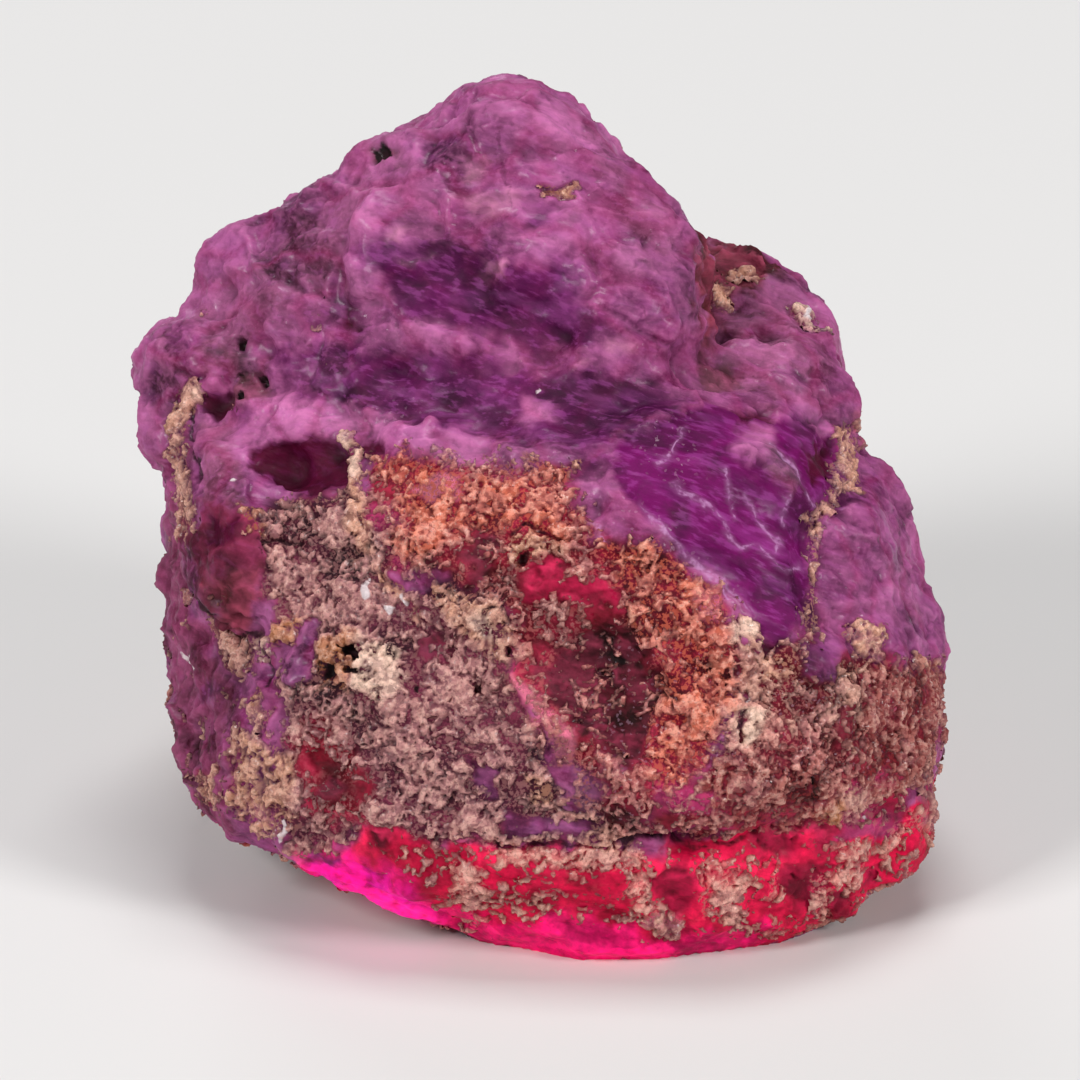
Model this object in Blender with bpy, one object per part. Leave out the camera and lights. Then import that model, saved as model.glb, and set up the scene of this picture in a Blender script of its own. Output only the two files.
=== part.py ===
"""A raw ruby crystal: one rough lump of corundum, frosty violet above a crusted front, standing on a flat parting.

The lump is laid out as it is seen from the front, looking down on it a little. A point is then
(across, up, depth): across to the right of the middle, up the view from the lowest point of the front
edge, and depth away from the viewer behind the front face. All of them are in millimetres.
"""

import math

import bmesh
import bpy
from mathutils import Matrix, Vector, noise

# Driving dimensions, in millimetres
STONE_WIDTH = 16.4
GRAIN = 0.24
SWELL = 0.1
TRIANGLES = 9500
NOISE_SEED = 11
METRES_PER_MM = 0.001

# The view that the front is laid out in
VIEW_TILT = math.radians(25)
BASE_UP = 1.775
BASE_DEPTH = 6.07

# Corners of the blocks that the crystal broke into, as (across, up, depth)
BODY = (
    (-7.35, 5.2, 4.6), (-7.62, 7.2, 4.9), (-7.6, 8.2, 4.9), (-7.35, 9.2, 4.8), (-7.25, 4.0, 4.4),
    (-6.95, 2.95, 4.0), (-6.2, 2.35, 3.4), (-6.1, 2.6, 2.6), (-5.3, 4.6, 1.3), (-5.2, 7.6, 1.5),
    (-4.3, 9.6, 1.5), (-6.4, 9.4, 2.8), (-2.8, 2.5, 0.3), (0.6, 2.4, 0.0), (3.6, 2.6, 0.1), (5.8, 3.0, 0.9),
    (-3.0, 9.7, 0.9), (0.4, 9.9, 0.5), (2.2, 9.4, 0.1), (4.4, 6.6, 0.0), (5.2, 6.2, 0.4),
    (-5.0, 11.2, 3.4), (-0.6, 11.5, 2.4), (3.4, 11.2, 2.0), (5.3, 10.0, 1.8),
    (7.6, 6.4, 3.4), (7.9, 4.4, 3.2), (7.5, 2.9, 3.0),
    (-6.6, 11.2, 9.6), (-5.2, 13.4, 9.4), (4.4, 13.0, 9.2), (5.9, 10.4, 8.4), (-6.9, 7.0, 10.2),
    (6.9, 6.2, 9.8), (-3.6, 9.0, 11.4), (3.2, 8.6, 11.4), (-4.6, 4.4, 10.4), (4.4, 4.2, 10.2),
)
RIM = (
    (-6.95, 2.85, 3.6), (-6.1, 2.4, 3.3), (-5.3, 2.3, 3.0), (-3.9, 1.95, 2.4), (-3.2, 1.5, 2.6),
    (-2.6, 1.0, 2.7), (-1.6, 0.5, 2.5), (-0.4, 0.25, 2.4), (1.2, 0.0, 2.2), (2.4, 0.05, 2.3),
    (4.8, 0.4, 2.6), (6.3, 0.85, 3.0), (7.25, 1.36, 3.4), (8.1, 2.35, 4.0), (8.0, 3.2, 4.4),
    (-4.2, 2.4, 1.0), (-1.6, 2.1, 0.5), (1.6, 2.0, 0.3), (4.4, 2.2, 0.7), (6.4, 2.6, 1.7),
    (-4.8, 3.6, 9.4), (4.6, 3.4, 9.6), (6.6, 3.2, 7.4), (0.0, 4.0, 10.6), (-6.4, 3.2, 6.4),
    (-1.0, 4.6, 4.0), (2.6, 4.6, 4.0),
)
DOME = (
    (-1.04, 17.65, 3.5), (0.3, 17.3, 3.3), (1.2, 16.55, 3.3), (2.4, 15.4, 3.3),
    (3.25, 14.3, 3.5), (3.5, 12.8, 3.2), (3.25, 11.4, 3.0),
    (-2.3, 16.9, 3.9), (-4.64, 15.62, 4.8), (-5.9, 14.92, 5.2),
    (-3.7, 13.9, 2.7), (-3.3, 15.2, 3.2), (-1.0, 15.0, 2.3), (1.3, 14.4, 2.1), (2.5, 12.6, 1.9),
    (2.2, 11.6, 1.6), (0.2, 11.4, 1.7), (-2.6, 11.8, 1.9), (-4.6, 12.2, 3.0),
    (-5.4, 13.2, 8.4), (-2.6, 15.9, 7.6), (1.2, 15.6, 7.6), (2.9, 13.6, 8.4), (-1.0, 11.4, 10.6),
)
DOME_PEAK = (
    (-1.5, 17.95, 3.6), (-0.9, 18.0, 3.6), (-0.3, 17.5, 3.5), (0.3, 17.38, 3.5), (-2.1, 17.2, 3.8),
    (-1.6, 16.6, 3.0), (0.4, 16.4, 2.8), (-1.0, 16.6, 6.4), (0.8, 16.2, 6.4), (-0.5, 14.0, 4.0),
)
DOME_LEFT_RIM = (
    (-3.9, 15.5, 3.6), (-4.2, 14.6, 3.1), (-3.5, 13.4, 2.3), (-2.6, 12.2, 1.7), (-3.2, 15.0, 2.6),
    (-3.0, 13.7, 2.0), (-2.2, 12.6, 1.6), (-4.4, 13.4, 4.4), (-2.4, 13.8, 4.4), (-3.4, 15.4, 4.8),
)
DOME_RIGHT_RIM = (
    (1.4, 16.1, 3.2), (2.5, 14.8, 2.8), (3.2, 13.4, 2.6), (3.0, 12.0, 2.2), (1.7, 14.6, 1.9),
    (2.2, 13.2, 1.5), (1.4, 12.4, 1.4), (0.8, 15.4, 2.4), (2.6, 13.6, 4.8), (0.8, 13.4, 4.4),
)
CREST_KNOB = (
    (-3.4, 16.35, 4.0), (-3.12, 16.55, 4.1), (-2.75, 16.5, 4.2), (-2.5, 16.3, 4.4), (-3.6, 15.9, 4.2),
    (-2.9, 15.9, 3.6), (-2.6, 15.9, 4.8), (-3.5, 15.9, 5.0),
)
LEFT_SHOULDER = (
    (-6.9, 13.85, 5.2), (-6.7, 14.45, 5.2), (-5.85, 15.0, 5.2), (-6.6, 13.4, 5.2),
    (-4.6, 15.3, 5.2), (-5.9, 13.8, 3.9), (-4.6, 14.3, 3.5), (-5.2, 12.2, 3.6), (-6.3, 12.0, 4.6),
    (-6.0, 12.8, 8.4), (-4.2, 14.4, 8.0), (-3.8, 11.6, 4.0),
)
LEFT_BRIDGE = (
    (-6.3, 12.9, 4.4), (-5.8, 12.3, 3.7), (-4.3, 12.5, 2.9), (-4.1, 11.2, 2.3), (-5.2, 10.7, 2.4),
    (-5.7, 11.4, 3.0), (-3.0, 11.0, 2.0), (-5.4, 9.8, 2.2), (-6.4, 10.4, 4.4), (-4.0, 10.6, 5.4),
    (-6.2, 12.6, 6.4), (-3.6, 12.6, 5.0),
)
LEFT_LOBE = (
    (-8.24, 11.86, 5.2), (-8.14, 10.96, 5.0), (-7.78, 10.06, 4.8), (-7.36, 9.4, 4.6),
    (-8.0, 12.5, 5.4), (-7.38, 12.9, 5.4), (-6.8, 12.95, 5.4),
    (-7.5, 11.9, 3.7), (-7.3, 10.8, 3.5), (-6.7, 12.4, 3.7), (-6.9, 9.4, 3.5),
    (-6.2, 11.6, 4.1), (-6.4, 9.8, 3.6), (-7.2, 11.8, 8.0), (-6.9, 9.0, 8.0), (-6.0, 12.6, 7.6),
)
FRONT_PLATE = (
    (-3.35, 9.75, 0.85), (-3.1, 8.2, 0.55), (-2.0, 6.7, 0.15), (-1.0, 5.6, -0.1), (-0.4, 4.4, -0.2),
    (0.5, 3.0, -0.15), (3.8, 2.9, -0.1), (5.0, 4.6, 0.1), (4.5, 6.5, -0.1), (2.2, 9.3, -0.05),
    (0.5, 9.95, 0.35), (-1.4, 10.2, 0.7), (-2.0, 8.0, 3.0), (3.6, 4.0, 3.0), (1.0, 8.6, 3.0),
)
THUMB = (
    (-6.85, 10.6, 2.7), (-6.0, 10.75, 2.3), (-5.7, 10.3, 2.2), (-7.0, 9.0, 2.9), (-7.15, 7.7, 2.9),
    (-6.9, 6.9, 2.8), (-6.3, 6.45, 2.2), (-5.6, 6.5, 1.6), (-5.3, 8.6, 1.3), (-6.2, 8.6, 1.4),
    (-6.4, 7.4, 1.5), (-5.0, 7.4, 2.8), (-6.0, 9.9, 4.6), (-6.4, 7.0, 4.6),
)
RIGHT_SHOULDER = (
    (3.2, 14.65, 6.6), (4.1, 14.5, 6.2), (5.0, 14.05, 5.8), (5.75, 13.1, 5.2), (6.0, 12.2, 4.8),
    (6.22, 11.46, 4.4), (6.18, 10.7, 4.2), (4.6, 12.9, 4.5), (5.2, 11.8, 3.5), (4.4, 10.9, 2.7),
    (3.4, 12.8, 5.4), (3.6, 10.6, 2.8), (5.4, 9.8, 2.4), (6.0, 9.2, 3.2),
    (3.2, 13.6, 8.6), (2.6, 13.2, 8.8), (5.2, 12.6, 8.6), (5.9, 10.4, 8.2), (3.0, 10.6, 6.0),
)
RIGHT_LOBE = (
    (6.2, 10.5, 4.6), (6.9, 9.76, 4.6), (7.5, 8.46, 4.6), (8.0, 6.56, 4.4), (8.22, 5.4, 4.4),
    (8.12, 4.16, 4.2), (7.98, 3.6, 4.4),
    (5.75, 8.9, 1.9), (6.4, 8.9, 2.3), (5.5, 6.3, 1.0), (6.6, 6.3, 1.6), (7.5, 5.6, 2.5),
    (7.4, 4.0, 2.2), (5.6, 4.2, 0.9), (5.2, 8.8, 2.6), (6.9, 7.4, 8.6), (7.0, 5.0, 8.4),
)
BACK_PRISM = (
    (-4.4, 13.2, 9.2), (-5.7, 9.4, 10.2), (-4.8, 6.4, 11.0), (-1.4, 12.2, 10.8), (-1.0, 7.4, 12.2),
    (3.2, 11.6, 10.7), (3.8, 7.2, 11.9), (5.4, 9.8, 9.8), (5.4, 6.2, 10.3), (0.0, 5.2, 11.6),
    (-3.0, 8.0, 8.0), (3.0, 8.0, 8.0),
)
# The underside, as (x, y) round the flat that it stands on
FOOT = (
    (-5.4, 1.9), (-1.7, -2.4), (-0.6, -3.2), (1.0, -3.8), (2.8, -3.7), (5.0, -2.8), (5.9, -1.0),
    (5.6, 2.2), (4.2, 4.2), (0.6, 5.2), (-3.4, 4.8), (-5.2, 3.6),
)
FOOT_LOW = -1.0
FOOT_HIGH = 0.4
BLOCKS = (
    BODY, RIM, FRONT_PLATE, THUMB, DOME, DOME_PEAK, DOME_LEFT_RIM, DOME_RIGHT_RIM, CREST_KNOB,
    LEFT_SHOULDER, LEFT_BRIDGE, LEFT_LOBE, RIGHT_SHOULDER, RIGHT_LOBE, BACK_PRISM,
)

# Furrows along the joins of the blocks: (points as (across, up), half width, depth)
FURROWS = (
    (((6.3, 10.7), (6.0, 9.7), (5.6, 8.8), (5.4, 7.6), (5.35, 6.7)), 0.3, 0.45),
    (((-3.6, 2.5), (-1.0, 2.3), (1.6, 2.25), (3.6, 2.35), (5.2, 2.7)), 0.26, 0.5),
    (((-3.5, 9.6), (-3.4, 8.4), (-2.8, 7.2), (-1.6, 6.0), (-0.8, 4.6), (0.1, 3.4)), 0.3, 0.2),
    (((-4.3, 13.0), (-3.9, 12.6), (-3.7, 12.4)), 0.28, 0.5),
    (((-3.7, 12.3), (-2.6, 11.8), (0.4, 12.0), (1.8, 12.1), (3.0, 12.2)), 0.22, 0.35),
    (((3.4, 14.2), (3.5, 12.8), (3.2, 11.8), (4.4, 11.2), (5.4, 11.0)), 0.35, 0.3),
    (((-5.2, 10.3), (-5.3, 8.6), (-5.1, 7.2), (-5.6, 6.4), (-6.6, 6.5)), 0.24, 0.35),
    (((5.4, 6.3), (6.6, 6.0), (7.8, 6.1)), 0.22, 0.25),
    (((-6.9, 6.4), (-6.6, 5.0), (-5.8, 3.4)), 0.3, 0.15),
)
# Hollows and swellings: (across, up, half width, half height, height, which is negative in a hollow)
HOLLOWS = (
    (-6.0, 11.3, 0.4, 0.5, -0.55),
    (-3.1, 16.0, 0.35, 0.25, -0.45),
    (-4.6, 9.8, 1.1, 0.55, -0.4),
    (4.0, 12.9, 0.8, 0.9, -0.35),
    (-1.6, 13.6, 1.2, 0.7, -0.3),
    (0.2, 12.9, 1.3, 0.5, -0.3),
    (-3.7, 6.1, 0.8, 0.75, 0.4),
    (-3.95, 6.25, 0.3, 0.28, -0.4),
    (1.4, 6.0, 0.9, 1.5, -0.3),
    (3.0, 6.9, 1.0, 1.1, 0.2),
    (5.7, 4.8, 1.0, 0.8, 0.35),
    (-1.5, 6.0, 0.4, 0.35, -0.3),
    (-6.2, 4.5, 0.5, 1.0, 0.25),
    (-2.6, 3.8, 0.8, 0.6, -0.25),
)

# Glassy faces, which broke smooth: (across, up, half width, half height)
SMOOTH_FACES = (
    (3.6, 8.7, 1.7, 1.6),
    (6.6, 8.0, 0.9, 1.2),
    (-4.6, 9.8, 1.1, 0.6),
    (-6.2, 14.0, 0.8, 0.7),
    (-1.6, 13.6, 1.0, 0.5),
    (-6.0, 8.0, 0.6, 1.2),
)

# Sizes of chip that the surface broke into: (size, how flat, how far they lean, most that a point moves)
CHIPS = ((2.4, 0.85, 0.16, 0.34), (1.1, 0.75, 0.2, 0.15))

# Colour of the whole lump from a step away: frosty violet-red
RUBY_COLOUR = (0.33, 0.07, 0.16, 1.0)
RUBY_ROUGHNESS = 0.42


def seen(across, up, depth):
    """The point (across, up, depth) of the view, in upright axes, in millimetres."""
    rise, reach = up - BASE_UP, depth - BASE_DEPTH
    y = rise * math.sin(VIEW_TILT) + reach * math.cos(VIEW_TILT)
    z = rise * math.cos(VIEW_TILT) - reach * math.sin(VIEW_TILT)
    return Vector((across, y, z))


def clear_scene():
    for obj in list(bpy.data.objects):
        bpy.data.objects.remove(obj)


def ruby_material():
    material = bpy.data.materials.new("rough ruby")
    material.use_nodes = True
    shader = material.node_tree.nodes["Principled BSDF"]
    shader.inputs["Base Color"].default_value = RUBY_COLOUR
    shader.inputs["Roughness"].default_value = RUBY_ROUGHNESS
    shader.inputs["Metallic"].default_value = 0.0
    return material


def add_block(bm, corners):
    """Adds the convex block that has these corners."""
    block = bmesh.new()
    for corner in corners:
        block.verts.new(corner)
    hull = bmesh.ops.convex_hull(block, input=block.verts)
    inside = {item for item in hull["geom_interior"] if isinstance(item, bmesh.types.BMVert)}
    bmesh.ops.delete(block, geom=list(inside), context="VERTS")
    scratch = bpy.data.meshes.new("block")
    block.to_mesh(scratch)
    block.free()
    bm.from_mesh(scratch)
    bpy.data.meshes.remove(scratch)


def add_blocks(bm):
    for corners in BLOCKS:
        add_block(bm, [seen(*corner) for corner in corners])
    add_block(bm, [(x, y, z) for x, y in FOOT for z in (FOOT_LOW, FOOT_HIGH)])


def in_view(point):
    """(across, up, depth) of an upright point."""
    rise = point.y * math.sin(VIEW_TILT) + point.z * math.cos(VIEW_TILT)
    reach = point.y * math.cos(VIEW_TILT) - point.z * math.sin(VIEW_TILT)
    return point.x, rise + BASE_UP, reach + BASE_DEPTH


def faces_viewer(normal):
    """How far a surface is turned to the front view, 0 to 1."""
    return max(0.0, math.sin(VIEW_TILT) * normal.z - math.cos(VIEW_TILT) * normal.y)


def distance_to_path(a, u, path):
    """Distance of (a, u) from the broken line through the path's points."""
    nearest = math.inf
    for (a0, u0), (a1, u1) in zip(path, path[1:]):
        run = (a1 - a0, u1 - u0)
        along = ((a - a0) * run[0] + (u - u0) * run[1]) / (run[0] ** 2 + run[1] ** 2)
        along = min(1.0, max(0.0, along))
        nearest = min(nearest, math.hypot(a - a0 - along * run[0], u - u0 - along * run[1]))
    return nearest


def relief(point, normal):
    """Height of the furrows, hollows and swellings of the front at a point, along its normal."""
    turned = faces_viewer(normal)
    if turned < 0.05:
        return 0.0
    a, u, _ = in_view(point)
    wander = noise.noise_vector(point * 1.1) * 0.25
    a, u = a + wander.x, u + wander.z
    height = 0.0
    for path, half_width, depth in FURROWS:
        height -= depth * math.exp(-((distance_to_path(a, u, path) / half_width) ** 2))
    for across, up, half_width, half_height, rise in HOLLOWS:
        off = ((a - across) / half_width) ** 2 + ((u - up) / half_height) ** 2
        height += rise * math.exp(-off)
    return height * min(1.0, turned * 2.0)


def smoothness(point, normal):
    """1 on the glassy faces of the front, 0 away from them."""
    if faces_viewer(normal) < 0.2:
        return 0.0
    a, u, _ = in_view(point)
    faces = (((a - x) / w) ** 2 + ((u - y) / h) ** 2 for x, y, w, h in SMOOTH_FACES)
    return math.exp(-min(faces) ** 2)


def chip(bm, size, flatness, lean, most):
    """Breaks the surface into flat chips of about this size, each leaning its own way a little."""
    cells = {}
    for vert in bm.verts:
        nearest = noise.voronoi(vert.co / size)[1][0]
        cells.setdefault(tuple(round(c, 4) for c in nearest), []).append(vert)
    moves = []
    for centre, verts in cells.items():
        middle = sum((vert.co for vert in verts), Vector()) / len(verts)
        facing = sum((vert.normal for vert in verts), Vector()).normalized()
        facing = (facing + noise.noise_vector(Vector(centre) * 7.3) * lean).normalized()
        for vert in verts:
            drop = (vert.co - middle).dot(facing) * flatness * (1 - smoothness(vert.co, vert.normal))
            moves.append((vert, -facing * min(most, max(-most, drop))))
    for vert, move in moves:
        vert.co += move


def rough_surface(bm):
    bm.normal_update()
    heights = [relief(vert.co, vert.normal) + SWELL for vert in bm.verts]
    for vert, height in zip(bm.verts, heights):
        vert.co += vert.normal * height
    for size, flatness, lean, most in CHIPS:
        bm.normal_update()
        chip(bm, size, flatness, lean, most)


def cut_base(bm):
    """The flat parting that the crystal stands on."""
    everything = bm.verts[:] + bm.edges[:] + bm.faces[:]
    bmesh.ops.bisect_plane(bm, geom=everything, plane_co=(0, 0, 0), plane_no=(0, 0, -1), clear_outer=True)
    bmesh.ops.edgeloop_fill(bm, edges=[edge for edge in bm.edges if edge.is_boundary])
    bmesh.ops.triangulate(bm, faces=bm.faces[:])


def apply_modifiers(obj):
    """Swaps the object's mesh for what its modifiers make of it."""
    graph = bpy.context.evaluated_depsgraph_get()
    obj.data = bpy.data.meshes.new_from_object(obj.evaluated_get(graph))
    obj.modifiers.clear()


def rework(obj, work):
    """Lets work change the object's mesh as a bmesh."""
    bm = bmesh.new()
    bm.from_mesh(obj.data)
    work(bm)
    bm.to_mesh(obj.data)
    bm.free()


def join_blocks():
    """One object whose mesh is the outer skin of all the blocks."""
    stone = bpy.data.objects.new("ruby_crystal", bpy.data.meshes.new("ruby_crystal"))
    bpy.context.scene.collection.objects.link(stone)
    rework(stone, add_blocks)
    remesh = stone.modifiers.new("one body", "REMESH")
    remesh.mode = "VOXEL"
    remesh.voxel_size = GRAIN
    apply_modifiers(stone)
    return stone


def stand_at_origin(mesh):
    """Gives the mesh its real width, and puts the middle of its box over the origin, in metres."""
    xs = [vert.co.x for vert in mesh.vertices]
    ys = [vert.co.y for vert in mesh.vertices]
    middle = Vector((min(xs) + max(xs), min(ys) + max(ys), 0)) / 2
    size = METRES_PER_MM * STONE_WIDTH / (max(xs) - min(xs))
    mesh.transform(Matrix.Scale(size, 4) @ Matrix.Translation(-middle))


def crystal():
    """The whole lump in millimetres, laid out with the front view."""
    noise.seed_set(NOISE_SEED)
    stone = join_blocks()
    rework(stone, rough_surface)
    fewer = stone.modifiers.new("fewer faces", "DECIMATE")
    fewer.ratio = TRIANGLES / (2 * len(stone.data.polygons))
    apply_modifiers(stone)
    rework(stone, cut_base)
    return stone


def main():
    clear_scene()
    stone = crystal()
    stand_at_origin(stone.data)
    stone.data.materials.append(ruby_material())


main()
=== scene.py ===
"""The looks of a raw ruby crystal: a frosty violet peak over a crusted front and a red foot.

The stone is modelled in millimetres and scaled to metres at the end. Its front is laid out as it is seen
in the photograph, so a place there is (across, up) in millimetres, from a pixel (column, row).
"""

import math
from collections import namedtuple

import bpy
import numpy as np
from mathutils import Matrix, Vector


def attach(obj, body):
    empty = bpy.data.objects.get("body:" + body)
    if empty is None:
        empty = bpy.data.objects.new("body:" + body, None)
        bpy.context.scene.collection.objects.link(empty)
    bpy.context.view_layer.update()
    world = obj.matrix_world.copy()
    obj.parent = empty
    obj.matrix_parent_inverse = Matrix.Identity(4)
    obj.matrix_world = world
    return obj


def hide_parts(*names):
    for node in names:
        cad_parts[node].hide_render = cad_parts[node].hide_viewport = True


MM = 0.001

# How the photograph's pixels lie on the stone
PHOTO_SIDE = 1080
PIXELS_PER_MM = 50.0
MIDDLE_COLUMN = 542
LOWEST_ROW = 958
VIEW_TILT = math.radians(25)
BASE_UP = 1.775
BASE_DEPTH = 6.07
LAYOUT_MIDDLE = np.array([-0.0136, 1.7563, 0.0])
LAYOUT_SCALE = 0.9968

# The camera, in millimetres: its lens and sensor, and how deep in the layout the point is that it looks at
LENS = 500.0
SENSOR = 36.0
LOOK_DEPTH = 3.0

# The floor and what the lights point at, in metres
FLOOR_HALF = 1.0
LIT_SPOT = (0, 0, 0.007)

# The fine mesh
GRAIN = 0.08
FACET_ROUNDS = 20
MOST_TRIANGLES = 198000

# The crystal's streaks: degrees down to the right, and how many times longer than wide they are. The broken
# faces and the patches of tone lie along them, and are less long.
STREAK_SLANT = 22
STREAK_LENGTH = 3.5
FACE_LENGTH = 1.75

# The flat faces that the ruby broke into: their size in millimetres, the seed of their places, how steeply
# they lean, and how much each has a tone of its own. The smallest are shards, in the deep red parts alone.
Faces = namedtuple("Faces", "size seed lean tone")
LARGE_FACES = Faces(1.5, 13, 0.24, 0.8)
SMALL_FACES = Faces(0.6, 14, 0.18, 0.5)
SHARDS = Faces(0.28, 19, 0.5, 0.9)
STEEPEST = 0.12

# Relief, in millimetres
PIT_DEPTH = 0.25
CRACK_DEPTH = 0.1
CRACK_WIDTH = 0.06
RIPPLE_HEIGHT = 0.01
RIPPLE_WIDTH = 0.05
VEIN_WIDTH = 0.15
CRUST_RELIEF = 0.16
TALLEST_CREST = 0.14
EDGE_OF_CRUST = -0.03
FLAKE_HEIGHT = 0.06

# Tones of the stone. Each patch of a tone is an outline in the photograph's pixels.
#   paint    its colour, 0 to 255
#   crust    how much of it the grains cover, from 0 to 1, or None where the patch leaves that as it is
#   lift     how far it stands proud, in millimetres
#   soft     half the width of its border, in millimetres
#   shine    how glassy it is, or None
Tone = namedtuple("Tone", "paint crust lift soft shine patches")

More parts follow.
